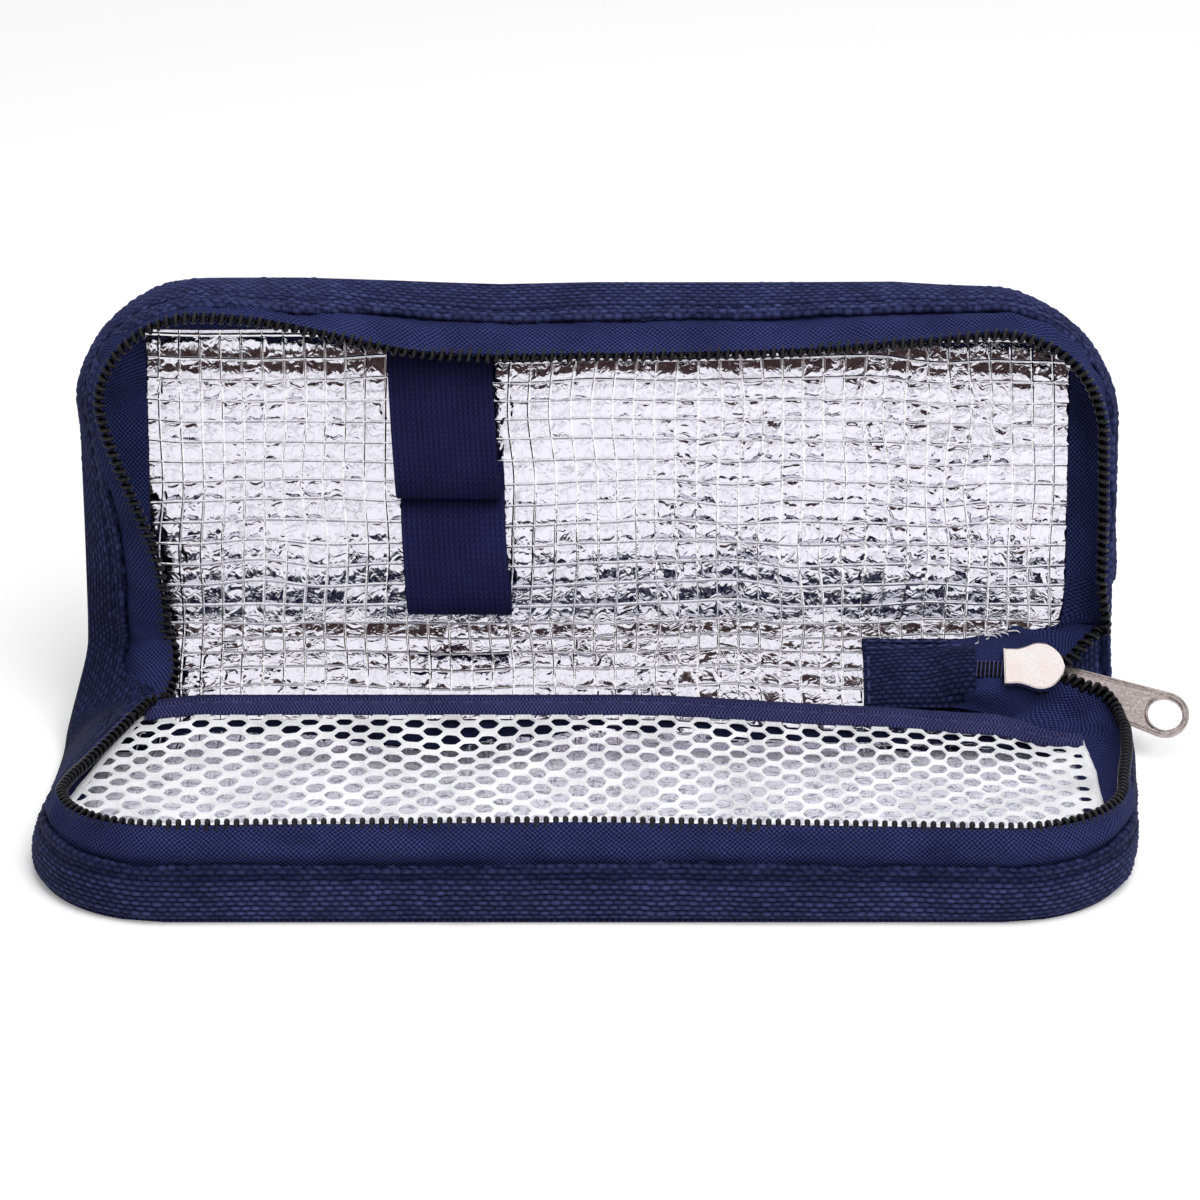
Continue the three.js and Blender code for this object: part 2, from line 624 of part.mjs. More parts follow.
// Slider: two plates held apart by a post, side flanges that guide the coil, and a bridge for the pull.
const onSlider = (x, q, w) => onSpine(SLIDER_START + x, ZIP_LINE + q, w);
const tailHalf = SLIDER_TAIL / 2;
const shoulderHalf = SLIDER_SHOULDER / 2;

function sliderOutline() {
  const shape = new THREE.Shape();
  shape.moveTo(0, -tailHalf);
  shape.lineTo(0.32 * SLIDER_LENGTH, -tailHalf);
  shape.lineTo(0.54 * SLIDER_LENGTH, -shoulderHalf);
  shape.quadraticCurveTo(0.78 * SLIDER_LENGTH, -shoulderHalf, 0.95 * SLIDER_LENGTH, -0.4 * shoulderHalf);
  shape.quadraticCurveTo(1.05 * SLIDER_LENGTH, 0, 0.95 * SLIDER_LENGTH, 0.4 * shoulderHalf);
  shape.quadraticCurveTo(0.78 * SLIDER_LENGTH, shoulderHalf, 0.54 * SLIDER_LENGTH, shoulderHalf);
  shape.lineTo(0.32 * SLIDER_LENGTH, tailHalf);
  shape.lineTo(0, tailHalf);
  return shape;
}

function sliderFlange(side, low, high) {
  const points = [
    [0, tailHalf],
    [0.32 * SLIDER_LENGTH, tailHalf],
    [0.54 * SLIDER_LENGTH, shoulderHalf],
    [0.64 * SLIDER_LENGTH, 0.985 * shoulderHalf],
    [0.64 * SLIDER_LENGTH, shoulderHalf - SLIDER_FLANGE],
    [0.54 * SLIDER_LENGTH, shoulderHalf - SLIDER_FLANGE],
    [0.32 * SLIDER_LENGTH, tailHalf - SLIDER_FLANGE],
    [0, tailHalf - SLIDER_FLANGE],
  ].map(([x, q]) => new THREE.Vector2(x, side * q));
  return mapped(extruded(new THREE.Shape(points), high - low), (x, q, w) => onSlider(x, q, low + w));
}

const frontPlate = REAR_PLATE + SLIDER_PLATE + SLIDER_CHANNEL;
const flangeHigh = 0.2 * SLIDER_CHANNEL;
const plate = (low) => mapped(extruded(sliderOutline(), SLIDER_PLATE), (x, q, w) => (
  onSlider(x, q, low + w)));
const postShape = new THREE.Shape();
postShape.absarc(0.86 * SLIDER_LENGTH, 0, 0.11 * SLIDER_LENGTH, 0, 2 * Math.PI);
const post = mapped(extruded(postShape, SLIDER_CHANNEL + SLIDER_PLATE), (x, q, w) => (
  onSlider(x, q, REAR_PLATE + SLIDER_PLATE / 2 + w)));

const bridgeEnds = [0.15 * SLIDER_LENGTH, 0.767 * SLIDER_LENGTH];
const bridgeLeg = 1.2;
const bridgeTop = REAR_PLATE + SLIDER_PLATE / 2;
const bridgeShape = new THREE.Shape([
  [bridgeEnds[0], bridgeTop],
  [bridgeEnds[0], BRIDGE_LOW + 0.4],
  [bridgeEnds[0] + 0.5, BRIDGE_LOW],
  [bridgeEnds[1] - 0.5, BRIDGE_LOW],
  [bridgeEnds[1], BRIDGE_LOW + 0.4],
  [bridgeEnds[1], bridgeTop],
  [bridgeEnds[1] - bridgeLeg, bridgeTop],
  [bridgeEnds[1] - bridgeLeg, BRIDGE_LOW + BRIDGE_THICK],
  [bridgeEnds[0] + bridgeLeg, BRIDGE_LOW + BRIDGE_THICK],
  [bridgeEnds[0] + bridgeLeg, bridgeTop],
].map(([x, w]) => new THREE.Vector2(x, w)));
const bridge = mapped(extruded(bridgeShape, BRIDGE_WIDTH), (x, w, q) => (
  onSlider(x, q - BRIDGE_WIDTH / 2, w)));

const flanges = [-1, 1].flatMap((side) => [
  sliderFlange(side, REAR_PLATE + SLIDER_PLATE / 2, REAR_PLATE + SLIDER_PLATE + flangeHigh),
  sliderFlange(side, frontPlate - flangeHigh, frontPlate + SLIDER_PLATE / 2),
]);
const sliderBody = joined([plate(REAR_PLATE), plate(frontPlate), post, bridge, ...flanges]);
addPiece('slider_body', sliderBody, NICKEL);

// Pull: a tapered plate with a raised rim, an eye round the bridge's leg and a finger ring.
const pivot = bridgeEnds[1] - bridgeLeg / 2;
const pullLow = BRIDGE_LOW + BRIDGE_THICK + (BRIDGE_SPACE - PULL_THICK) / 2;

function pullOutline(inset) {
  const lean = Math.asin((PULL_RING - PULL_EYE) / PULL_LENGTH);
  const shape = new THREE.Shape();
  shape.absarc(0, 0, PULL_EYE - inset, Math.PI / 2 + lean, 1.5 * Math.PI - lean);
  shape.absarc(PULL_LENGTH, 0, PULL_RING - inset, -Math.PI / 2 - lean, Math.PI / 2 + lean);
  return shape;
}

function circle(x, radius) {
  const path = new THREE.Path();
  path.absarc(x, 0, radius, 0, 2 * Math.PI, true);
  return path;
}

function pullPlate(holes, low, high) {
  const shape = pullOutline(0);
  shape.holes.push(...holes);
  return mapped(extruded(shape, high - low), (x, q, w) => {
    const turn = new THREE.Vector2(x, q).rotateAround(new THREE.Vector2(), PULL_DROOP);
    return onSlider(pivot + turn.x, turn.y, pullLow + low + w);
  });
}

const groove = 0.15;
const recess = new THREE.Path(pullOutline(PULL_RIM).getPoints(10).toReversed());
addPiece('slider_pull', joined([
  pullPlate([circle(0, PULL_EYE_HOLE), circle(PULL_LENGTH, PULL_RING_HOLE)], groove, PULL_THICK - groove),
  pullPlate([recess], 0, PULL_THICK),
]), NICKEL);

export default group;
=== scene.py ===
# %% [markdown]
# # A zip-around cooling case, dressed in Blender
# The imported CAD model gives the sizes, the bodies and the joints. This lesson keeps that frame
# as it is and sews the visible case round it: cloth, foil, net, elastic, zip and metal.
# Every piece is made in the CAD's own frame, in metres, so nothing has to be fitted by eye.

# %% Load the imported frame
import math
import bmesh
import bpy
import numpy as np
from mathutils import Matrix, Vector


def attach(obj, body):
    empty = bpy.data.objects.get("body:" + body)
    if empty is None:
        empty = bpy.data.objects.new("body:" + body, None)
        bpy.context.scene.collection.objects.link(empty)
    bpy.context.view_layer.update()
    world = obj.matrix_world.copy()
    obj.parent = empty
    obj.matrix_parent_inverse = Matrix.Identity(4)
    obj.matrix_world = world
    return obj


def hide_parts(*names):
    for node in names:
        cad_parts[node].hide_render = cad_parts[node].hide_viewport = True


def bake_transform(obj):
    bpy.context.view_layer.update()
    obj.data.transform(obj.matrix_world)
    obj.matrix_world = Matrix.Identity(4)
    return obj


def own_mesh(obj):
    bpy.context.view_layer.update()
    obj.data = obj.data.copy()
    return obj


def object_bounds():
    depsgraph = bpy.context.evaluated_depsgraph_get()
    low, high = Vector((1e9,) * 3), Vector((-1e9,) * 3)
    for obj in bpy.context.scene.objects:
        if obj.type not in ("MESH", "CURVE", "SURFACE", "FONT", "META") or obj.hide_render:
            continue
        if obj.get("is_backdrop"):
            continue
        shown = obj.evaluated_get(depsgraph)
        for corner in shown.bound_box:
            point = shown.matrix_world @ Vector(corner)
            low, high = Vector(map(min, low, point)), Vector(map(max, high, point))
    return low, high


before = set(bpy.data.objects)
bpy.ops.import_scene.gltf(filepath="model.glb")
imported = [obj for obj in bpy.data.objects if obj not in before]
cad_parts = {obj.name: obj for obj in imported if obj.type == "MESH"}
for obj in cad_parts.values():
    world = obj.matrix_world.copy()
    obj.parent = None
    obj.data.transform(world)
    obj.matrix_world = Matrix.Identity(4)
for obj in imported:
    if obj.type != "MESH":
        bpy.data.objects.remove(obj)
cad_box = [list(corner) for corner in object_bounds()]

# %% [markdown]
# ## The shape of the open case
# A case like this is one padded panel with two soft folds, a base leaf in front of the spine and
# a lid leaf behind it. Rather than model three slabs, we describe the outer cloth by one line:
# p runs from the front of the base, over both folds, to the top of the lid. A point of the case
# is then x across, p along that line and w inward from the cloth.

# %% Sizes in millimetres, as in the CAD model
MM = 0.001
LEAF_LENGTH = 71.0
HALF_RIGHT = 100.0
BASE_LEFT = 103.0
LID_LEFT = 99.5
CORNER_RADIUS = 26.0
SPINE_WIDTH = 24.0
FOLD = math.radians(41)
BEND_RADIUS = 16.0  # the padded panel bends softly and not along a knife edge
PANEL_THICK = 3.7
SPINE_MIDDLE = SPINE_WIDTH / 2
FOLD_REACH = 8.0  # the strips at the folds end this far out on each leaf


def smooth(t):
    """Goes from 0 to 1 with a soft start and a soft end."""
    t = np.clip(t, 0, 1)
    return t * t * (3 - 2 * t)


def mix(a, b, share):
    return a + (b - a) * share


print("leaf:", HALF_RIGHT + BASE_LEFT, "by", LEAF_LENGTH, "mm, fold", round(math.degrees(FOLD)),
      "degrees")

# %% The line of the outer cloth
LINE_STEP, LINE_SPARE = 0.05, 12  # the line goes on past both leaves, for cloth that stands proud
line_p = np.arange(-LEAF_LENGTH - LINE_SPARE, SPINE_WIDTH + LEAF_LENGTH + LINE_SPARE, LINE_STEP)
bend_half = BEND_RADIUS * math.tan(FOLD / 2)


def turned(p, fold):
    return np.clip((p - fold + bend_half) / (2 * bend_half), 0, 1)


def tilt_at(p):
    return FOLD * (turned(p, 0) + turned(p, SPINE_WIDTH))


between = line_p[:-1] + LINE_STEP / 2
on_bend = (np.abs(between) < bend_half) | (np.abs(between - SPINE_WIDTH) < bend_half)
stride = LINE_STEP * np.where(on_bend, BEND_RADIUS * FOLD / (2 * bend_half), 1)
line_y = np.append(0, np.cumsum(stride * np.cos(tilt_at(between)))) + LEAF_LENGTH / 2 + line_p[0]
line_z = np.append(0, np.cumsum(stride * np.sin(tilt_at(between))))

# How far the lid's top stands above its pattern, by place across it.
LID_SETTLE = ((-100, 1.8), (-75, 1.4), (-56, 1.6), (-37, 1.2), (-18, 0.6),
              (0, 1.0), (57, 0.9), (67, 0.2), (80, -0.4), (100, -1.0))
FRONT_SETTLE, LEFT_SETTLE = 1.2, 1.3  # how far the base spreads to the front and to the left


def settle(x, p):
    """Sewn cloth leaves its pattern by a millimetre or two: the lid's top waves, the base spreads."""
    lid = np.interp(x, *zip(*LID_SETTLE)) * smooth((p - SPINE_WIDTH) / LEAF_LENGTH)
    front = FRONT_SETTLE * smooth((-p - 30) / 41)
    spread = LEFT_SETTLE * smooth(-p / 45) * np.clip(-x / 100, 0, 1.1)
    return x - spread, p + lid - front


def on_case(x, p, w):
    """Points of the case in metres."""
    x, p, w = np.broadcast_arrays(x, p, w)
    x, p = settle(x, p)
    tilt = tilt_at(p)
    y = np.interp(p, line_p, line_y) - w * np.sin(tilt)
    z = np.interp(p, line_p, line_z) + w * np.cos(tilt)
    return np.stack([x, y, z], -1) * MM


def on_spine(x, q, w):
    """Points square to the flat of the spine, for the stiff zip end."""
    x, q, w = np.broadcast_arrays(x, q, w)
    y = LEAF_LENGTH / 2 + q * math.cos(FOLD) - w * math.sin(FOLD)
    z = q * math.sin(FOLD) + w * math.cos(FOLD)
    return np.stack([x, y, z], -1) * MM


print("top of the lid's cloth:", np.round(on_case(0.0, SPINE_WIDTH + LEAF_LENGTH, 0.0) / MM, 2))

# %% [markdown]
# ## The camera
# The photograph was taken from straight in front and a little above, with a long lens from about
# a metre away, so the verticals hardly converge. These numbers place the CAD solids on it.

# %% Camera
CAMERA_TILT = math.radians(24.24)
CAMERA_DISTANCE = 1002.07
CAMERA_TARGET = (0.978, 23.0, 37.604)
FRAME_PIXELS = 1200
FOCAL_PIXELS = 5318.36

camera_data = bpy.data.cameras.new("camera")
camera_data.sensor_width = 36.0
camera_data.lens = FOCAL_PIXELS * camera_data.sensor_width / FRAME_PIXELS
camera_data.clip_start, camera_data.clip_end = 0.05, 50.0
camera = bpy.data.objects.new("camera", camera_data)
camera.location = (
    CAMERA_TARGET[0] * MM,
    (CAMERA_TARGET[1] - CAMERA_DISTANCE * math.cos(CAMERA_TILT)) * MM,
    (CAMERA_TARGET[2] + CAMERA_DISTANCE * math.sin(CAMERA_TILT)) * MM,
)
camera.rotation_euler = (math.pi / 2 - CAMERA_TILT, 0, 0)
bpy.context.scene.collection.objects.link(camera)
bpy.context.scene.camera = camera
print("lens:", round(camera_data.lens, 2), "mm")

# %% [markdown]
# ## Materials begin with two helpers
# Colours are written as the sRGB hex values that a colour picker shows, and one function turns
# them to the linear values that shaders use. One more function adds a node with its settings
# and its links, so that each material below reads as a short recipe.


# %% Helpers for materials
def paint(code):
    """A linear RGBA colour from an sRGB hex value."""
    parts = [int(code[i : i + 2], 16) / 255 for i in (1, 3, 5)]
    return tuple(c / 12.92 if c <= 0.04045 else ((c + 0.055) / 1.055) ** 2.4 for c in parts) + (1.0,)


def add(tree, kind, inputs=None, **settings):
    """A new node. Inputs are links where they are sockets, and else plain values."""
    node = tree.nodes.new(kind)
    for name, value in settings.items():
        setattr(node, name, value)
    for name, value in (inputs or {}).items():
        if isinstance(value, bpy.types.NodeSocket):
            tree.links.new(value, node.inputs[name])
        else:
            node.inputs[name].default_value = value
    return node


def new_material(name):
    material = bpy.data.materials.new(name)
    material.use_nodes = True
    material.node_tree.nodes.clear()
    return material, material.node_tree


print("mid grey in linear light:", round(paint("#808080")[0], 3))

# %% [markdown]
# ## The studio
# A pale floor and a white world stand for the photographer's white sweep. Two large soft lamps
# light the case from above. Foil only looks like foil if it has something dark to mirror, so four
# cards stand behind the camera, overhead and at both sides, as photographers use. They show in
# reflections alone, and the left one also takes away some of the fill.

# %% World
world = bpy.data.worlds.new("white sweep")
bpy.context.scene.world = world
world.use_nodes = True
sky = world.node_tree
sky.nodes.clear()
rays = add(sky, "ShaderNodeLightPath").outputs
seen = add(sky, "ShaderNodeMath", {0: rays["Is Camera Ray"], 1: rays["Is Glossy Ray"]},
           operation="MAXIMUM")
shown = add(sky, "ShaderNodeMath", {0: seen.outputs[0], 1: rays["Is Transmission Ray"]},
            operation="MAXIMUM")
fill = add(sky, "ShaderNodeBackground", {"Color": paint("#ffffff"), "Strength": 0.25})
white = add(sky, "ShaderNodeBackground", {"Color": paint("#ffffff"), "Strength": 1.0})
both = add(sky, "ShaderNodeMixShader", {0: shown.outputs[0], 1: fill.outputs[0], 2: white.outputs[0]})
add(sky, "ShaderNodeOutputWorld", {"Surface": both.outputs[0]})
bpy.context.scene.view_settings.view_transform = "Standard"
print("world:", world.name)

# %% Lamps
LAMP_AIM = (0, 0.02, 0.04)
LAMPS = {  # place in metres, size in metres, power in watts
    "key softbox": ((0.55, -0.85, 1.1), 1.0, 10.0),
    "top softbox": ((0.15, -0.15, 1.25), 1.0, 11.0),
}
for name, (place, size, power) in LAMPS.items():
    lamp_data = bpy.data.lights.new(name, "AREA")
    lamp_data.size = size
    lamp_data.energy = power
    lamp = bpy.data.objects.new(name, lamp_data)
    lamp.location = place
    aim = Vector(LAMP_AIM) - lamp.location
    lamp.visible_glossy = False  # metals mirror the white sweep and the cards, not the lamps
    lamp.rotation_euler = aim.to_track_quat("-Z", "Y").to_euler()
    bpy.context.scene.collection.objects.link(lamp)
print("lamps:", len(LAMPS))


# %% Floor and dark cards
def plane(name, corners, material):
    mesh = bpy.data.meshes.new(name)
    mesh.from_pydata(corners, [], [(0, 1, 2, 3)])
    mesh.materials.append(material)
    thing = bpy.data.objects.new(name, mesh)
    bpy.context.scene.collection.objects.link(thing)
    thing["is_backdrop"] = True
    return thing


floor_paint, tree = new_material("matt white sweep")
matt = add(tree, "ShaderNodeBsdfDiffuse", {"Color": paint("#f4f4f4")})
lift = add(tree, "ShaderNodeEmission", {"Color": paint("#ffffff"), "Strength": 0.22})
rays = add(tree, "ShaderNodeLightPath").outputs
glow = add(tree, "ShaderNodeMixShader", {0: rays["Is Camera Ray"], 2: lift.outputs[0]})
surface = add(tree, "ShaderNodeAddShader", {0: matt.outputs[0], 1: glow.outputs[0]})
add(tree, "ShaderNodeOutputMaterial", {"Surface": surface.outputs[0]})
FLOOR_HALF = 4.0
FLOOR_LEVEL = -0.0002
square = ((-1, -1), (1, -1), (1, 1), (-1, 1))
floor = plane("floor", [(x * FLOOR_HALF, y * FLOOR_HALF, FLOOR_LEVEL) for x, y in square], floor_paint)

card_paint, tree = new_material("grey card")
grey = add(tree, "ShaderNodeBsdfDiffuse", {"Color": paint("#54403f")})
add(tree, "ShaderNodeOutputMaterial", {"Surface": grey.outputs[0]})
CARDS = {  # both ends of one edge, and the way from there to the opposite edge, in metres
    "grey_card": ((-1.1, -1.7, 0.36), (1.1, -1.7, 0.36), (0, 0, 0.49)),
    "overhead_card": ((-1.1, -0.95, 1.5), (1.1, -0.95, 1.5), (0, 0.39, 0)),
    "side_card_left": ((-1.0, -0.9, 0.02), (-1.0, -0.1, 0.02), (0, 0, 0.88)),
    "side_card_right": ((1.0, -0.9, 0.02), (1.0, -0.1, 0.02), (0, 0, 0.88)),
}
for name, corners in CARDS.items():
    start, end, onward = map(Vector, corners)
    card = plane(name, [start, end, end + onward, start + onward], card_paint)
    card.visible_camera = card.visible_shadow = False
    card.visible_diffuse = name == "side_card_left"
print("stage:", floor.name, *CARDS)

# %% [markdown]
# ## Woven and knitted cloth
# The binding is a coarse polyester webbing whose yarns lie like bricks, about 2 by 0.95 mm. They
# are large enough to see, so they are real relief in the mesh, and the mesh carries that relief
# to the shader, which paints shade into the gaps between yarns and light onto their crowns. Finer
# weaves are drawn by the shader from the cloth's own millimetres, stored on every vertex as "cloth".


# %% Webbing
FIBRES, WORN_PATCH = 1 / 3.2, 1 / 0.09  # mm: bundles of fibres in a yarn, and patches of wear
CLOTH_GLOSS = 0.04  # matt yarn scatters nearly all of its gloss


def yarn_shader(tree, low, high, roughness, bump_height, sheen, fine=None):
    """Cloth coloured from painted shade in its gaps to a painted highlight on the crowns of its yarns, with
    fine fibres as bump.
    """
    relief = add(tree, "ShaderNodeAttribute", attribute_name="relief")
    cloth = add(tree, "ShaderNodeAttribute", attribute_name="cloth").outputs["Vector"]
    fibre = add(tree, "ShaderNodeTexNoise", {"Vector": cloth, "Scale": 1 / FIBRES, "Detail": 3.0})
    patches = add(tree, "ShaderNodeTexNoise", {"Vector": cloth, "Scale": 1 / WORN_PATCH, "Detail": 3.0})
    depth = relief.outputs["Fac"]
    height = fibre.outputs["Fac"]
    if fine is not None:
        depth = fine
        rough = add(tree, "ShaderNodeMath", {0: height, 1: 0.4, 2: fine}, operation="MULTIPLY_ADD")
        height = rough.outputs[0]
    # painted shade in the gaps between yarns and a painted highlight on their crowns, by the yarns' height
    painted_crown_light = add(tree, "ShaderNodeMix", {0: depth, 6: paint(low), 7: paint(high)}, data_type="RGBA")
    worn = add(tree, "ShaderNodeMapRange", {0: patches.outputs["Fac"], 1: 0.3, 2: 0.7, 3: 0.8, 4: 1.2})
    fibrous = add(tree, "ShaderNodeMapRange", {0: fibre.outputs["Fac"], 1: 0.3, 2: 0.7, 3: 0.7, 4: 1.3})
    both = add(tree, "ShaderNodeMath", {0: worn.outputs[0], 1: fibrous.outputs[0]}, operation="MULTIPLY")
    colour = add(tree, "ShaderNodeVectorMath", {0: painted_crown_light.outputs[2], "Scale": both.outputs[0]},
                 operation="SCALE")
    bump = add(tree, "ShaderNodeBump", {"Height": height, "Strength": 0.6, "Distance": bump_height * MM})
    shader = add(tree, "ShaderNodeBsdfPrincipled", {
        "Base Color": colour.outputs[0], "Roughness": roughness, "Normal": bump.outputs[0],
        "IOR": 1.5, "Specular IOR Level": CLOTH_GLOSS, "Sheen Weight": sheen, "Sheen Roughness": 0.4,
        "Sheen Tint": paint("#6a74b0")})
    add(tree, "ShaderNodeOutputMaterial", {"Surface": shader.outputs[0]})
    return shader


# Woven polyester yarn, dyed navy. Painted shade makes the gaps between yarns nearly black, and a painted
# highlight lightens their crowns.
webbing, tree = new_material("navy polyester webbing")
yarn_shader(tree, "#010215", "#444977", 0.6, 0.16, 0.0)
# A darker copy of the webbing, for the tab and, as painted shade, for the inner leaf of the pocket's edge.
darker_webbing, tree = new_material("dark navy polyester webbing")
yarn_shader(tree, "#010210", "#353b63", 0.6, 0.16, 0.0)
print("webbing:", webbing.name, "and", darker_webbing.name)


# %% Zip tape, oxford cloth and knitted elastic
THREAD_WANDER = 2.0  # mm along a thread between its small bends


def thread_wave(tree, across, along):
    """Heights of a fine plain weave with threads that far apart in mm, which wander a little."""
    cloth = add(tree, "ShaderNodeAttribute", attribute_name="cloth").outputs["Vector"]
    uneven = add(tree, "ShaderNodeTexNoise", {"Vector": cloth, "Scale": 1 / THREAD_WANDER, "Detail": 2.0})
    moved = add(tree, "ShaderNodeVectorMath", {0: uneven.outputs["Color"], 1: (0.5, 0.5, 0.5), 2: cloth},
                operation="MULTIPLY_ADD")
    parts = add(tree, "ShaderNodeSeparateXYZ", {0: moved.outputs[0]})
    warp = add(tree, "ShaderNodeMath", {0: parts.outputs[0], 1: 2 * math.pi / across},
               operation="MULTIPLY")
    weft = add(tree, "ShaderNodeMath", {0: parts.outputs[1], 1: 2 * math.pi / along},
               operation="MULTIPLY")
    wave_a = add(tree, "ShaderNodeMath", {0: warp.outputs[0]}, operation="SINE")
    wave_b = add(tree, "ShaderNodeMath", {0: weft.outputs[0]}, operation="SINE")
    woven = add(tree, "ShaderNodeMath", {0: wave_a.outputs[0], 1: wave_b.outputs[0]},
                operation="MULTIPLY")
    return add(tree, "ShaderNodeMapRange", {0: woven.outputs[0], 1: -0.9, 2: 0.9}).outputs[0]


# Threads of the tape are about 0.4 mm apart; drawn a little wider so that they show in the render.
tape_cloth, tree = new_material("navy woven zip tape")
yarn_shader(tree, "#070920", "#383e6f", 0.7, 0.2, 0.0, thread_wave(tree, 0.95, 0.85))
# 600-denier oxford has yarns of about 0.5 mm in a basket weave.
oxford, tree = new_material("navy oxford polyester")
yarn_shader(tree, "#070920", "#30365f", 0.75, 0.18, 0.02, thread_wave(tree, 1.1, 1.1))
# Knitted elastic is dull, and its ribs come from the mesh.
elastic, tree = new_material("navy knitted elastic")
yarn_shader(tree, "#07071c", "#292953", 0.75, 0.1, 0.0)
# Spun sewing thread has almost no shine. A paler copy sews the pocket's mouth and the tab, and on the
# closed zip its paleness paints highlights.
thread_navy, tree = new_material("navy sewing thread")
yarn_shader(tree, "#080a22", "#2a2f55", 0.6, 0.03, 0.0)
pale_thread, tree = new_material("pale navy sewing thread")
yarn_shader(tree, "#1e2046", "#585c8c", 0.6, 0.03, 0.0)
# The mouth of the pocket is bound with a narrow ribbed tape, coloured paler and greyer than the other navy
# cloth.
ribbed_tape, tree = new_material("navy ribbed tape")
yarn_shader(tree, "#0d0d2d", "#44456e", 0.75, 0.1, 0.0, thread_wave(tree, 0.7, 1.4))
# Polyester yarn of the net lets light through, so the pocket under it stays bright.
net_white, tree = new_material("white polyester net")
yarn = yarn_shader(tree, "#f2f2f8", "#ffffff", 0.7, 0.05, 0.0)
through_yarn = add(tree, "ShaderNodeBsdfTranslucent", {"Color": paint("#ffffff")})
lit_yarn = add(tree, "ShaderNodeMixShader", {0: 0.5, 1: yarn.outputs[0], 2: through_yarn.outputs[0]})
tree.links.new(lit_yarn.outputs[0], tree.nodes["Material Output"].inputs["Surface"])
print("cloths:", [m.name for m in (tape_cloth, oxford, elastic, net_white)])

# %% [markdown]
# ## Foil, foam, nylon and nickel
# The lining is metallised film pressed onto a square scrim of threads. Film keeps a clear mirror
# between its creases, so its roughness is low. Under the net it is scuffed and paler. The coil is
# a dyed nylon filament, drawn smooth. Slider and pull are die-cast zinc with bright nickel: the
# pull's face has been tumbled dull, and hands have rubbed its rim smooth.

# %% Foil lining
SCRIM = 4.0  # spacing of the threads under the film, in mm as all sizes here
THREAD_SKIRT, THREAD_HEIGHT = 0.32, 0.12
PILLOW_SKIRT, PILLOW_LEAST, PILLOW_MOST, PILLOW_STRAY = 1.15, 0.0, 0.2, 1.2
STRAY, CRINKLE, GRAIN = 1 / 0.3, 1 / 0.4, 1 / 0.8  # bends of the threads, creases, dull specks


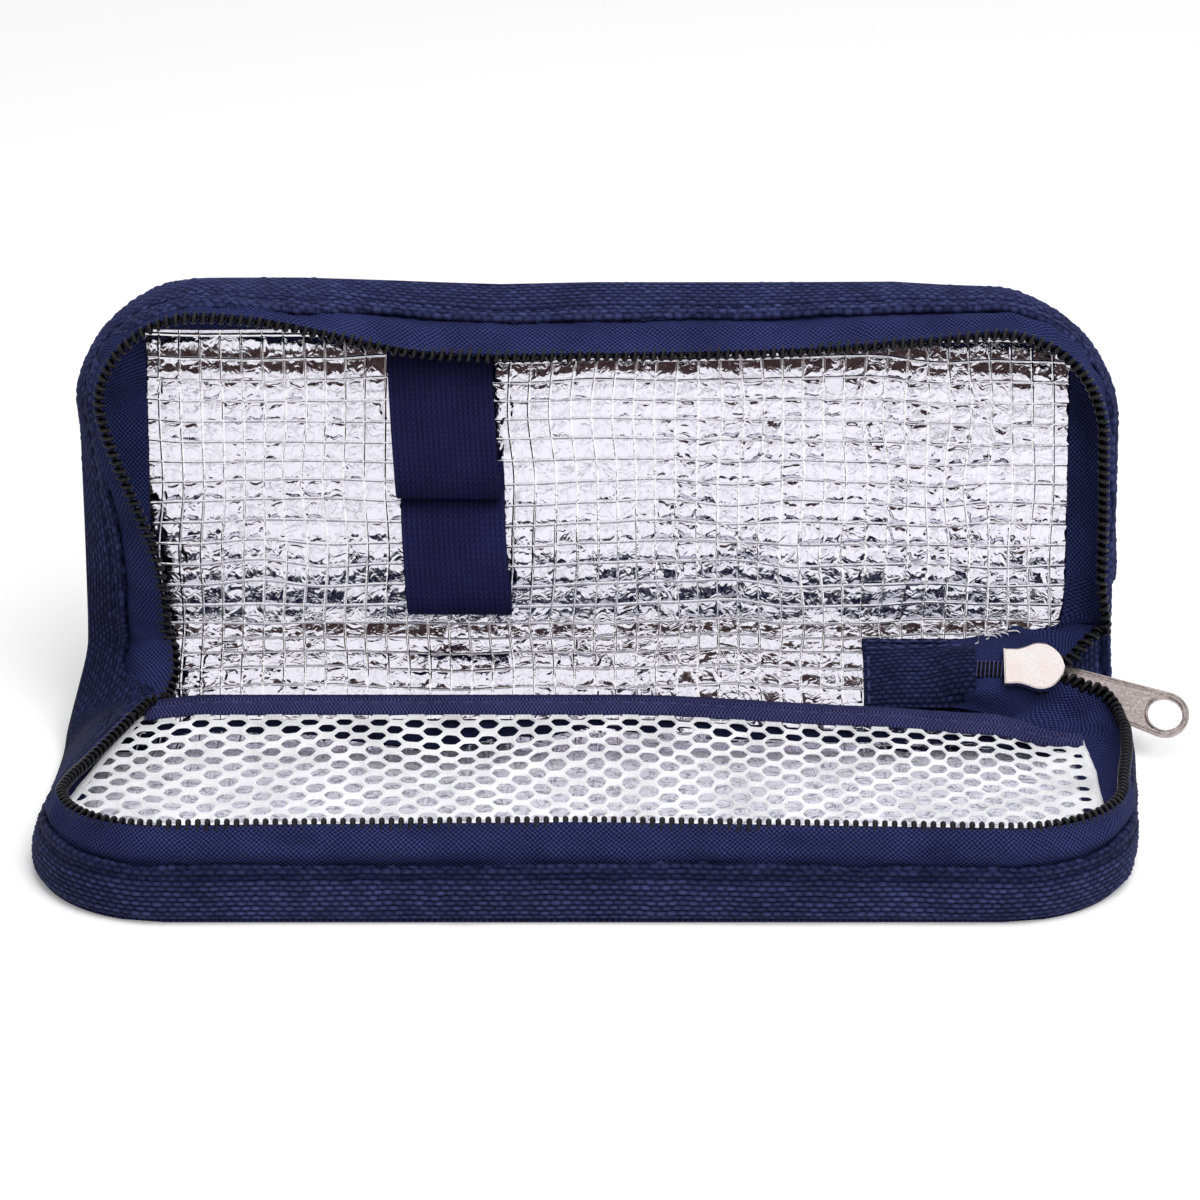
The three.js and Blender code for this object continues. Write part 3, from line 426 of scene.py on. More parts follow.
def foil_material(name, metal, clear, dull_to, crease, marks):
    """Metallised film over a scrim. Threads and creases finer than the mesh are bump. The colour also has a
    painted highlight along the threads and painted shade along the creases.
    """
    material, tree = new_material(name)
    cloth = add(tree, "ShaderNodeAttribute", attribute_name="cloth").outputs["Vector"]
    puff = add(tree, "ShaderNodeAttribute", attribute_name="relief")
    stray = add(tree, "ShaderNodeTexNoise", {"Vector": cloth, "Scale": 1 / STRAY, "Detail": 1.0},
                normalize=False)
    by = (PILLOW_STRAY, PILLOW_STRAY, 0)
    strayed = add(tree, "ShaderNodeVectorMath", {0: stray.outputs["Color"], 1: by, 2: cloth},
                  operation="MULTIPLY_ADD").outputs[0]
    grid = {"Vector": cloth, "Scale": 1.0, "Brick Width": SCRIM, "Row Height": SCRIM,
            "Mortar Smooth": 1.0, "Color1": paint("#000000"), "Color2": paint("#ffffff")}
    loose_grid = grid | {"Vector": strayed}
    straight = {"offset": 0.0, "squash": 1.0}
    scrim = add(tree, "ShaderNodeTexBrick", grid | {"Mortar Size": THREAD_SKIRT}, **straight)
    threads = scrim.outputs["Fac"]
    pillow = add(tree, "ShaderNodeTexBrick", loose_grid | {"Mortar Size": PILLOW_SKIRT}, **straight)
    each = add(tree, "ShaderNodeTexBrick", loose_grid | {"Mortar Size": 0.0}, **straight)
    crinkle = add(tree, "ShaderNodeTexNoise", {"Vector": cloth, "Scale": 1 / CRINKLE, "Detail": 2.0,
                                               "Roughness": 0.5, "Distortion": 0.8})
    grain = add(tree, "ShaderNodeTexNoise", {"Vector": cloth, "Scale": 1 / GRAIN, "Detail": 2.0,
                                             "Distortion": 0.4})
    fold = add(tree, "ShaderNodeMath", {0: crinkle.outputs["Fac"], 1: 0.5}, operation="SUBTRACT")
    ridge = add(tree, "ShaderNodeMath", {0: fold.outputs[0]}, operation="ABSOLUTE")
    film = add(tree, "ShaderNodeMath", {0: ridge.outputs[0], 1: -crease}, operation="MULTIPLY")
    taut = add(tree, "ShaderNodeMapRange", {0: each.outputs["Color"], 3: PILLOW_LEAST, 4: PILLOW_MOST})
    inside = add(tree, "ShaderNodeMath", {0: 1.0, 1: pillow.outputs["Fac"]}, operation="SUBTRACT")
    loose = add(tree, "ShaderNodeMath", {0: taut.outputs[0], 1: puff.outputs["Fac"]},
                operation="MULTIPLY")
    bulged = add(tree, "ShaderNodeMath", {0: inside.outputs[0], 1: loose.outputs[0], 2: film.outputs[0]},
                 operation="MULTIPLY_ADD")
    height = add(tree, "ShaderNodeMath", {0: threads, 1: THREAD_HEIGHT, 2: bulged.outputs[0]},
                 operation="MULTIPLY_ADD")
    bump = add(tree, "ShaderNodeBump", {"Height": height.outputs[0], "Strength": 1.0, "Distance": MM})
    # painted highlight: the film is coloured a little brighter along the scrim threads
    silver = add(tree, "ShaderNodeMix", {0: threads, 6: paint("#eeecf7"), 7: paint("#fdfcff")},
                 data_type="RGBA")
    # painted shade: the film is coloured grey along its creases, as strongly as marks says
    crease_shade_mask = add(tree, "ShaderNodeMapRange", {0: ridge.outputs[0], 1: 0.0, 2: 0.04, 3: marks, 4: 0.0})
    crease_shaded = add(tree, "ShaderNodeMix", {0: crease_shade_mask.outputs[0], 6: silver.outputs[2], 7: paint("#7c7c8e")},
                 data_type="RGBA")
    dull = add(tree, "ShaderNodeMapRange",
               {0: grain.outputs["Fac"], 1: 0.3, 2: 0.7, 3: clear, 4: dull_to})
    shader = add(tree, "ShaderNodeBsdfPrincipled", {"Base Color": crease_shaded.outputs[2], "Metallic": metal,
                                                    "Roughness": dull.outputs[0],
                                                    "Normal": bump.outputs[0]})
    add(tree, "ShaderNodeOutputMaterial", {"Surface": shader.outputs[0]})
    return material


# Film with little wear mirrors like polished metal. Scuffed film is a dull white. The last number sets the
# painted shade along the creases.
foil = foil_material("metallised scrim foil", 1.0, 0.05, 0.12, 0.12, 0.25)
scuffed_foil = foil_material("scuffed scrim foil", 0.25, 0.15, 0.3, 0.3, 0.9)
print("foils:", foil.name, scuffed_foil.name)

# %% Nylon, foam and nickel
MOTTLE, FOAM_CELL = 1 / 0.9, 1 / 1.2  # mm
# A drawn filament is smooth and black. The narrow lights on the outer side of each turn are a painted
# highlight, mottled.
nylon, tree = new_material("black nylon filament")
place = add(tree, "ShaderNodeTexCoord").outputs["Object"]
mottle = add(tree, "ShaderNodeTexNoise", {"Vector": place, "Scale": 1 / (MOTTLE * MM), "Detail": 2.0})
# painted highlight: relief here marks the outer side of each turn, which is coloured lighter
rubbed = add(tree, "ShaderNodeAttribute", attribute_name="relief").outputs["Fac"]
painted_glint = add(tree, "ShaderNodeMath", {0: mottle.outputs["Fac"], 1: rubbed}, operation="MULTIPLY")
tone = add(tree, "ShaderNodeMix", {0: painted_glint.outputs[0], 6: paint("#010102"), 7: paint("#3a3a3f")},
           data_type="RGBA")
shader = add(tree, "ShaderNodeBsdfPrincipled", {"Base Color": tone.outputs[2], "Roughness": 0.24,
                                                "IOR": 1.53, "Specular IOR Level": 0.14})
add(tree, "ShaderNodeOutputMaterial", {"Surface": shader.outputs[0]})

# Closed-cell foam is matt, and its cut cells give it a fine grain.
foam_white, tree = new_material("white polyethylene foam")
place = add(tree, "ShaderNodeTexCoord").outputs["Object"]
cells = add(tree, "ShaderNodeTexVoronoi",
            {"Vector": place, "Scale": 1 / (FOAM_CELL * MM)}).outputs["Distance"]
tone = add(tree, "ShaderNodeMix", {0: cells, 6: paint("#d9d9d4"), 7: paint("#f0f0ec")}, data_type="RGBA")
bump = add(tree, "ShaderNodeBump", {"Height": cells, "Strength": 0.4, "Distance": 0.2 * MM})
shader = add(tree, "ShaderNodeBsdfPrincipled", {"Base Color": tone.outputs[2], "Roughness": 0.9,
                                                "Normal": bump.outputs[0]})
add(tree, "ShaderNodeOutputMaterial", {"Surface": shader.outputs[0]})


TUMBLE_MARK = 0.35  # mm; real marks are finer and wouldn't show


def nickel(name, dark, light, roughness, grit, patch):
    """Nickel plate: bright where it is polished, with fine tumbling marks and patches that size in mm."""
    material, tree = new_material(name)
    place = add(tree, "ShaderNodeTexCoord").outputs["Object"]
    marks = add(tree, "ShaderNodeTexNoise",
                {"Vector": place, "Scale": 1 / (TUMBLE_MARK * MM), "Detail": 4.0})
    cloud = add(tree, "ShaderNodeTexNoise", {"Vector": place, "Scale": 1 / (patch * MM), "Detail": 2.0})
    uneven = add(tree, "ShaderNodeMapRange", {0: cloud.outputs["Fac"], 1: 0.3, 2: 0.7})
    tone = add(tree, "ShaderNodeMix", {0: uneven.outputs[0], 6: paint(dark), 7: paint(light)},
               data_type="RGBA")
    rough = add(tree, "ShaderNodeMapRange", {0: marks.outputs["Fac"], 1: 0.3, 2: 0.7,
                                             3: roughness - 0.06, 4: roughness + 0.08})
    bump = add(tree, "ShaderNodeBump", {"Height": marks.outputs["Fac"], "Strength": grit,
                                        "Distance": 0.03 * MM})
    shader = add(tree, "ShaderNodeBsdfPrincipled", {"Base Color": tone.outputs[2], "Metallic": 1.0,
                                                    "Roughness": rough.outputs[0],
                                                    "Normal": bump.outputs[0]})
    add(tree, "ShaderNodeOutputMaterial", {"Surface": shader.outputs[0]})
    return material


slider_nickel = nickel("polished nickel plate", "#fff0ed", "#fffaf8", 0.16, 0.1, 4.0)
pull_nickel = nickel("tumbled nickel plate", "#b3a6a4", "#e9dcd9", 0.38, 0.5, 0.5)
rim_nickel = nickel("rubbed nickel plate", "#8d8280", "#d6cac7", 0.25, 0.2, 2.0)
print("metals:", slider_nickel.name, pull_nickel.name, rim_nickel.name)

# %% [markdown]
# ## Mesh helpers
# Nearly every soft piece here is a strip or a sheet, so three helpers cover them: a mesh from
# arrays of points, a sheet with two faces and a closed rim, and a strip swept from rings. Each
# vertex keeps its place in the cloth, in millimetres, and its relief, for the shaders.


# %% Helpers for meshes
def mesh_piece(name, points, faces, material, cloth=None, relief=None):
    mesh = bpy.data.meshes.new(name)
    faces = faces if isinstance(faces, list) else faces.tolist()
    mesh.from_pydata(np.asarray(points).reshape(-1, 3).tolist(), [], faces)
    mesh.update()
    mesh.polygons.foreach_set("use_smooth", np.ones(len(mesh.polygons), bool))
    if cloth is not None:
        layer = mesh.attributes.new("cloth", "FLOAT_VECTOR", "POINT")
        layer.data.foreach_set("vector", np.asarray(cloth, np.float32).reshape(-1))
        heights = np.full(len(mesh.vertices), 0.5) if relief is None else np.asarray(relief).reshape(-1)
        layer = mesh.attributes.new("relief", "FLOAT", "POINT")
        layer.data.foreach_set("value", heights.astype(np.float32))
    mesh.set_sharp_from_angle(angle=math.radians(55))
    mesh.materials.append(material)
    thing = bpy.data.objects.new(name, mesh)
    bpy.context.scene.collection.objects.link(thing)
    return thing


def grid_faces(rows, columns, start=0, around=False):
    """Quads of a grid of points, joined up across its columns where it goes round."""
    i = np.arange(rows - 1)[:, None] * columns + start
    j = np.arange(columns if around else columns - 1)[None, :]
    k = (j + 1) % columns
    return np.stack([i + j, i + k, i + columns + k, i + columns + j], -1).reshape(-1, 4)


def facing_out(points, faces):
    """The faces, turned over if the closed mesh is inside out."""
    flat = np.asarray(points).reshape(-1, 3)
    quads = np.array([f for f in faces if len(f) == 4])
    a, b, c, d = (flat[quads[:, i]] for i in range(4))
    volume = (a * np.cross(b, c)).sum() + (a * np.cross(c, d)).sum()
    return [list(f)[::-1] for f in faces] if volume < 0 else [list(f) for f in faces]


def sheet_piece(name, top, bottom, material, cloth, relief=None):
    """A closed sheet from two grids of points, its upper and lower faces."""
    rows, columns = top.shape[:2]
    count = rows * columns
    upper = grid_faces(rows, columns)
    lower = upper[:, ::-1] + count
    index = np.arange(count).reshape(rows, columns)
    rim = np.concatenate([index[0], index[1:, -1], index[-1, -2::-1], index[-2:0:-1, 0]])
    after = np.roll(rim, -1)
    walls = np.stack([after, rim, rim + count, after + count], -1)
    points = np.concatenate([top.reshape(-1, 3), bottom.reshape(-1, 3)])
    faces = facing_out(points, np.concatenate([upper, lower, walls]).tolist())
    heights = None if relief is None else np.concatenate([relief.reshape(-1), relief.reshape(-1)])
    return mesh_piece(name, points, faces, material, np.concatenate([cloth.reshape(-1, 3)] * 2), heights)


def strip_piece(name, rings, material, cloth, relief=None):
    """A closed strip through rings of points, with its ends capped."""
    rows, columns = rings.shape[:2]
    faces = grid_faces(rows, columns, around=True).tolist()
    faces += [list(range(columns))[::-1], list(range((rows - 1) * columns, rows * columns))]
    return mesh_piece(name, rings, facing_out(rings, faces), material, cloth, relief)


def normals_of(grid, around=False):
    """Unit normals of a grid of points."""
    along = np.gradient(grid, axis=0)
    if around:
        across = (np.roll(grid, -1, 1) - np.roll(grid, 1, 1)) / 2
    else:
        across = np.gradient(grid, axis=1)
    n = np.cross(along, across)
    return n / np.maximum(np.linalg.norm(n, axis=-1, keepdims=True), 1e-12)


def noise(u, v, seed):
    """Smooth random heights from -1 to 1 on a lattice of unit squares."""
    table = np.random.default_rng(seed).uniform(-1, 1, (256, 256))
    i, j = np.floor(u).astype(int), np.floor(v).astype(int)
    s, t = smooth(u - i), smooth(v - j)
    at = lambda a, b: table[a % 256, b % 256]
    return mix(mix(at(i, j), at(i + 1, j), s), mix(at(i, j + 1), at(i + 1, j + 1), s), t)


def along_of(points):
    """Distance along a line of points, in millimetres."""
    steps = np.linalg.norm(np.diff(points, axis=0), axis=-1) / MM
    return np.append(0, np.cumsum(steps))


def stacked(*parts):
    """Vectors from arrays that are broadcast to one shape."""
    return np.stack(np.broadcast_arrays(*parts), -1)


def full_turn(count):
    """Angles once round a circle."""
    return np.linspace(0, 2 * math.pi, count, endpoint=False)


print("points of a square ring:", np.round(np.cos(full_turn(4)), 2).tolist())

# %% [markdown]
# ## The padded panel
# Outer cloth, foam and lining each run over both folds. Every layer is cut in four where the
# bodies need it: a base sheet, one strip for each fold and a lid sheet. The cuts meet exactly,
# so the layer still looks like one piece of cloth.

# %% Outline of the panel
SIDE_LENGTH = LEAF_LENGTH - CORNER_RADIUS


def half_left(p):
    return mix(BASE_LEFT, LID_LEFT, smooth(p / SPINE_WIDTH))


LEFT_TUCK = 6.0  # the leaning left wall leaves less room for foam and lining


def edges_at(p, inset):
    """Left and right limits of a layer across the case."""
    out = np.maximum(-p, p - SPINE_WIDTH) - SIDE_LENGTH
    radius = CORNER_RADIUS - inset
    cut = radius - np.sqrt(np.maximum(radius**2 - np.clip(out, 0, radius) ** 2, 0))
    tuck = LEFT_TUCK * (1 - smooth((out + SIDE_LENGTH) / 40)) if inset > 2 else 0
    return inset + tuck + cut - half_left(p), HALF_RIGHT - inset - cut


# Where each part of a layer starts and ends along the line of the cloth, and its CAD solids' name.
CUTS = {
    "base": (None, -FOLD_REACH),
    "lower_fold": (-FOLD_REACH, SPINE_MIDDLE),
    "upper_fold": (SPINE_MIDDLE, SPINE_WIDTH + FOLD_REACH),
    "lid": (SPINE_WIDTH + FOLD_REACH, None),
}
SOLIDS = {"base": "base", "lower_fold": "spine", "upper_fold": "spine", "lid": "lid"}
BEND_PAIRS = {"lower_fold": ("base", "spine"), "upper_fold": ("spine", "lid")}


def bend_or_ride(piece, part):
    """Lets a piece of cloth ride on its leaf. A piece at a fold is baked where it lies."""
    if part in BEND_PAIRS:
        low, high = CUTS[part]
        start, end = on_case(0.0, low + 1.0, 0.0), on_case(0.0, high - 1.0, 0.0)
        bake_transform(piece)
    else:
        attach(piece, part)


def panel_grid(part, inset, step):
    """Places across and along one part of a layer."""
    low, high = CUTS[part]
    low = inset - LEAF_LENGTH if low is None else low
    high = SPINE_WIDTH + LEAF_LENGTH - inset if high is None else high
    p = np.linspace(low, high, max(3, round((high - low) / step)) + 1)[:, None]
    left, right = edges_at(p, inset)
    share = np.linspace(0, 1, round((HALF_RIGHT + BASE_LEFT) / step) + 1)[None, :]
    return mix(left, right, share), p + 0 * share


def from_rim(x, p, inset):
    """How far each place of a layer is from the layer's edge."""
    from_ends = np.minimum(p + LEAF_LENGTH, SPINE_WIDTH + LEAF_LENGTH - p) - inset
    return np.minimum(np.minimum(x - x[:, :1], x[:, -1:] - x), from_ends)


print("left and right edges at the lower fold:", [round(float(x), 1) for x in edges_at(0.0, 0.0)])

# %% [markdown]
# ## Outer cloth
# The outside is 600-denier oxford cloth over the foam. It is a thin sheet with two faces, swollen
# a little by the padding, except under the base, where the case's own weight flattens it.

# %% Outer cloth
COVER_THICK = 0.6
COVER_INSET = 1.0
COVER_SWELL = 0.5  # the foam pushes the cloth out a little, except where it lies on the table


def area_of(part, inset):
    """Area, width and length of one part of a layer, in metres."""
    x, p = panel_grid(part, inset, 1.0)
    width = (x[:, -1] - x[:, 0]) * MM
    rise = np.diff(p[:, 0]) * MM
    return float(((width[1:] + width[:-1]) / 2 * rise).sum()), float(width.max()), float(rise.sum())


for part in CUTS:
    x, p = panel_grid(part, COVER_INSET, 1.2)
    rim = from_rim(x, p, 0.0)
    swell = COVER_SWELL * smooth(rim / 12) * smooth((p + 2) / 12)
    ripple = 0.12 * noise(x / 17, p / 17, 3) * smooth(rim / 8) * smooth((p + 2) / 12)
    out = -swell - ripple
    inner, outer = on_case(x, p, out + COVER_THICK), on_case(x, p, out)
    cover = sheet_piece("outer_cloth_" + part, inner, outer, oxford, stacked(x, p, 0))
    flat_area, wide, deep = area_of(part, COVER_INSET)
    bend_or_ride(cover, part)
    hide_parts(SOLIDS[part] + "_cover")
    print(cover.name, len(cover.data.polygons))

# %% [markdown]
# ## Foam
# A 2 mm sheet of foam keeps the cold in. Nobody sees it, but a cut through the case would show
# it, so it is a plain sheet between cloth and lining, thinner along the lid's top seam.

# %% Foam
ROLL_START, ROLL_DEPTH, ROLL_MOST = 49.0, 1.0, 1.9  # near the lid's top edge the padding thins out


def top_roll(p):
    """How far the padding has thinned at a place on the lid."""
    return np.minimum(ROLL_DEPTH * (np.maximum(p - SPINE_WIDTH - ROLL_START, 0) / 8) ** 2, ROLL_MOST)


FOAM_LOW, FOAM_HIGH, FOAM_INSET = 0.7, 2.75, 3.6
for part in CUTS:
    x, p = panel_grid(part, FOAM_INSET, 2.5)
    top = on_case(x, p, FOAM_HIGH - top_roll(p))
    foam = sheet_piece("foam_" + part, top, on_case(x, p, FOAM_LOW), foam_white, stacked(x, p, 0))
    bend_or_ride(foam, part)
    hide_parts(SOLIDS[part] + "_foam")
print("foam between cloth and lining:", round(FOAM_HIGH - FOAM_LOW, 2), "mm")

# %% [markdown]
# ## The foil lining
# The film is pressed over scrim threads that cross every 4 mm. Each little square bulges, leans
# and creases in its own way, and that is what scatters the mirror into bright and dark facets.
# The larger forms are height in the mesh: a pillow in each square, a lean that differs from
# square to square, and slow waves. Threads and fine creases are bump, which costs no faces.

# %% Relief of the foil
LINING_LOW, LINING_INSET = 2.95, 3.8


def cell_random(i, j, seed):
    """One random value from -1 to 1 for each square."""
    table = np.random.default_rng(seed).uniform(-1, 1, (64, 64))
    return table[i.astype(int) % 64, j.astype(int) % 64]


def foil_relief(x, p):
    """Height of the film, and its place on the scrim in millimetres of cloth."""
    u = (x + 0.8 * noise(x / 14, p / 14, 11)) / SCRIM
    v = (p + 0.8 * noise(x / 13 + 40, p / 13, 12)) / SCRIM
    i, j = np.floor(u), np.floor(v)
    s, t = u - i, v - j
    window = np.sqrt(np.sin(math.pi * s) * np.sin(math.pi * t))
    pillow = window * (0.05 + 0.04 * cell_random(i, j, 13))
    lean = window * (cell_random(i, j, 26) * (s - 0.5) + cell_random(i, j, 27) * (t - 0.5)) * 0.16
    dent = window * 0.04 * noise(x / 2.2, p / 2.2, 16)
    wave = 0.32 * noise(x / 27, p / 19, 18) + 0.12 * noise(x / 9, p / 9, 19)
    return 0.4 + pillow + lean + dent + wave - top_roll(p), stacked(u * SCRIM, v * SCRIM, 0)


def foil_puff(x, p):
    """How much the film bulges between its threads: unevenly, and hardly at all low on the lid."""
    uneven = 0.4 + 0.8 * smooth(0.5 + 0.9 * noise(x / 23, p / 15, 28))
    calm = 0.8 * np.exp(-(((p - SPINE_WIDTH - 9) / 4.5) ** 2)) + 0.6 * smooth((p - SPINE_WIDTH - 52) / 4)
    on_bare_spine = smooth((SPINE_WIDTH - 1 - p) / 4) * smooth((p + 4) / 4)
    return uneven * (1 - calm) * (1 + 0.5 * on_bare_spine)


print("scrim threads every", SCRIM, "mm,", round((HALF_RIGHT + BASE_LEFT) / SCRIM), "across the case")

# %% Lining sheets
FILM_THICK = 0.3  # drawn thicker than real film, so that both faces stay apart
LINING_STEP = {"base": 0.55, "lower_fold": 0.5, "upper_fold": 0.5, "lid": 0.5}
for part in CUTS:
    x, p = panel_grid(part, LINING_INSET, LINING_STEP[part])
    height, on_scrim = foil_relief(x, p)
    height = height * (0.3 + 0.7 * smooth(from_rim(x, p, LINING_INSET) / 5))  # held down along its edge
    low = on_case(x, p, LINING_LOW + np.minimum(height, 0))
    top = on_case(x, p, LINING_LOW + FILM_THICK + height)
    film = scuffed_foil if part == "base" else foil
    lining = sheet_piece("foil_lining_" + part, top, low, film, on_scrim, foil_puff(x, p))
    flat_area, wide, deep = area_of(part, LINING_INSET)
    bend_or_ride(lining, part)
    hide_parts(SOLIDS[part] + "_lining")
    print(lining.name, len(lining.data.polygons), "highest", round(float(height.max()), 2), "mm")

# %% [markdown]
# ## The wall round the leaves
# A soft wall stands on the edge of the panel: webbing at its foot, zip tape above, the coil on
# its rim. It leans in, most of all at the left end of the spine, where it lies folded over the
# lining. One path runs from the right of the base, round the base, over the left end of the
# spine and round the lid. At each station the wall is a line that starts upright and then leans.

# %% Path of the wall
WALL_WIDTH = 18.4
RIM_AT_FOLD, RIM_RISE, RIM_LOWEST = 10.3, 0.098, 6.6
# How far the rim leans in, by distance along the leaf's edge from the left end of the fold.
BASE_LEAN = ((0, 18.8), (14, 13.7), (28, 8.5), (42, 4.2), (66, 3.6), (161, 5.5), (257, 2.0), (280, 0.5),
             (300, -2.2), (323, -3.0))
LID_LEAN = ((0, 15.5), (12, 15.2), (20, 13.8), (30, 9.8), (37, 6.8), (45, 4.0), (55, 2.2), (75, 2.0),
            (93, 2.8), (107, 5.5), (120, 8.7), (128, 10), (170, 10), (196, 9.2), (216, 7.4), (233, 4.5),
            (254, 2.0), (290, 0.8), (320, 0.5))
SPINE_LEAN = 19.2
LEFT_RISE = 3.5  # the wall stands taller where it crosses the lower fold at the left
BASE_FLOOR = (-95.0, 91.5, 66.0)  # bare lining: left and right limits and far limit from the fold
LID_FLOOR = (-86.0, 91.2, 61.5)
WALL_START = 14.0
STATION = 0.29  # mm from one station of the wall to the next
CORNER_RUN = CORNER_RADIUS * math.pi / 2
EDGE_STEP = 0.05


def edge_run(left):
    """Length of a leaf's edge, from the left end of its fold to the right end."""
    return 2 * SIDE_LENGTH + 2 * CORNER_RUN + left + HALF_RIGHT - 2 * CORNER_RADIUS


def leaf_edge(left, s):
    """Places on a leaf's edge (x, v) by distance along it, and the turn of the path there."""
    fine = np.arange(0, edge_run(left) + 2 * EDGE_STEP, EDGE_STEP)
    middle = fine[:-1] + EDGE_STEP / 2
    far = edge_run(left) - SIDE_LENGTH - CORNER_RUN
    corner = lambda d: np.clip(d / CORNER_RUN, 0, 1)
    turn = lambda d: (corner(d - SIDE_LENGTH) + corner(d - far)) * math.pi / 2
    x = np.append(0, np.cumsum(EDGE_STEP * np.sin(turn(middle)))) - left
    v = np.append(0, np.cumsum(EDGE_STEP * np.cos(turn(middle))))
    return np.interp(s, fine, x), np.interp(s, fine, v), turn(s)


def lean_at(leans, s):
    """The profile of leans, rounded over a few millimetres."""
    at, lean = zip(*leans)
    return np.mean([np.interp(s + k, at, lean) for k in range(-6, 7)], 0)


def floor_inset(x, v, turn, limits):
    """How far in from the leaf's edge the bare lining starts, straight in from each place."""
    left, right, far = limits
    in_x, in_v = np.cos(turn), -np.sin(turn)
    to_left = np.where(in_x > 0.02, (left - x) / np.maximum(in_x, 0.02), 0)
    to_right = np.where(in_x < -0.02, (right - x) / np.minimum(in_x, -0.02), 0)
    to_far = np.where(in_v < -0.02, (far - v) / np.minimum(in_v, -0.02), 0)
    return np.maximum(np.maximum(to_left, to_right), to_far)


def leaf_wall(left, leans, floors, flip):
    """Stations of one leaf's wall: place, inward direction, lean and distance from the fold."""
    run = edge_run(left)
    s = np.linspace(0, run - WALL_START, round((run - WALL_START) / STATION) + 1)
    x, v, turn = leaf_edge(left, s)
    p = -v if flip else SPINE_WIDTH + v
    inward = np.cos(turn), np.sin(turn) if flip else -np.sin(turn)
    return {"x": x, "p": p, "nx": inward[0], "np": inward[1], "v": v,
            "lean": lean_at(leans, s), "floor": floor_inset(x, v, turn, floors)}


base_wall = leaf_wall(BASE_LEFT, BASE_LEAN, BASE_FLOOR, True)
lid_wall = leaf_wall(LID_LEFT, LID_LEAN, LID_FLOOR, False)
spine_p = np.linspace(0, SPINE_WIDTH, round(SPINE_WIDTH / STATION) + 1)[1:-1]
spine_wall = {
    "x": -half_left(spine_p), "p": spine_p, "nx": np.ones_like(spine_p), "np": np.zeros_like(spine_p),
    "lean": np.interp(spine_p, (0, SPINE_MIDDLE, SPINE_WIDTH),
                      (BASE_LEAN[0][1], SPINE_LEAN, LID_LEAN[0][1])),
    "v": np.zeros_like(spine_p),
    "floor": half_left(spine_p) + mix(BASE_FLOOR[0], LID_FLOOR[0], spine_p / SPINE_WIDTH),
}
wall = {k: np.concatenate([base_wall[k][::-1], spine_wall[k], lid_wall[k]]) for k in base_wall}
foot_line = on_case(wall["x"], wall["p"], 0.0)
wall["u"] = along_of(foot_line)
print("wall stations:", len(wall["u"]), "length", round(float(wall["u"][-1]), 1), "mm")

# %% Lines up the wall
UP_STEP = 0.1
WALL_BULGE = 0.2  # the wall leaves the table steeper than it ends, in radians
BINDING_HALF = 0.95
left_end = (wall["x"] < 0) * (1 - smooth(wall["v"] / 35))
lower_left = left_end * smooth((SPINE_MIDDLE - wall["p"]) / SPINE_MIDDLE)
upper_left = left_end * (1 - lower_left)
slack = np.sqrt(np.maximum((WALL_WIDTH + 6 * (lower_left + upper_left)) ** 2 - wall["lean"] ** 2, 0))
wall["rim"] = RIM_AT_FOLD + RIM_RISE * wall["v"] + LEFT_RISE * lower_left + 0.7 * upper_left
wall["rim"] = np.maximum(RIM_LOWEST, np.minimum(wall["rim"], slack))
wall["angle"] = np.arctan2(wall["rim"] - 1.0, wall["lean"])
wall["foot"] = 0.5 + BINDING_HALF * np.maximum(np.cos(wall["angle"]), 0)
wall["reach"] = np.hypot(wall["lean"], wall["rim"] - wall["foot"]) * (1 + WALL_BULGE**2 / 4)
up = np.arange(0, 30, UP_STEP)[None, :]
gone = np.clip(up / wall["reach"][:, None], 0, 1)
heading = wall["angle"][:, None] + WALL_BULGE * np.cos(math.pi * gone)
up_in = 1 + np.cumsum(np.cos(heading), 1) * UP_STEP - np.cos(heading) * UP_STEP
up_high = wall["foot"][:, None] + np.cumsum(np.sin(heading), 1) * UP_STEP - np.sin(heading) * UP_STEP


def wall_section(stations, d, out=0.0):
    """Inset and height of the wall at chosen stations (rows), at distances up it and out from it."""
    d = np.broadcast_to(d, (len(stations), np.shape(d)[-1]))
    k = np.clip((d / UP_STEP).astype(int), 0, up.shape[1] - 2)
    f = d / UP_STEP - k
    rows = stations[:, None]
    pick = lambda table: mix(table[rows, k], table[rows, k + 1], f)
    angle = pick(heading)
    return pick(up_in) - out * np.sin(angle), pick(up_high) + out * np.cos(angle)


def from_edge(stations, inset, height):
    """Points by their inset from the leaf's edge and their height over the outer cloth."""
    take = lambda key: wall[key][stations][:, None]
    return on_case(take("x") + take("nx") * inset, take("p") + take("np") * inset, height)


def wall_points(stations, d, out=0.0):
    return from_edge(stations, *wall_section(stations, d, out))


print("wall is", round(float(wall["reach"].min()), 1), "to", round(float(wall["reach"].max()), 1),
      "mm high")

# %% Parts of the wall
def stations_between(start, end):
    """Stations from one place of the path to another, given as (leaf, v or p)."""
    count_base, count_spine = len(base_wall["x"]), len(spine_p)
    def index(place):
        kind, value = place
        if kind == "base_right":
            return 0
        if kind == "base":
            return count_base - 1 - round(value / STATION)
        if kind == "spine":
            return count_base + round(value / STATION)
        if kind == "lid":
            return count_base + count_spine + round(value / STATION)
        return len(wall["x"]) - 1
    return np.arange(index(start), index(end) + 1)


WALL_PARTS = {
    "base": stations_between(("base_right", 0), ("base", WALL_START)),
    "left_lower": stations_between(("base", WALL_START), ("spine", SPINE_MIDDLE)),
    "left_upper": stations_between(("spine", SPINE_MIDDLE), ("lid", WALL_START)),
    "lid": stations_between(("lid", WALL_START), ("lid_right", 0)),
}


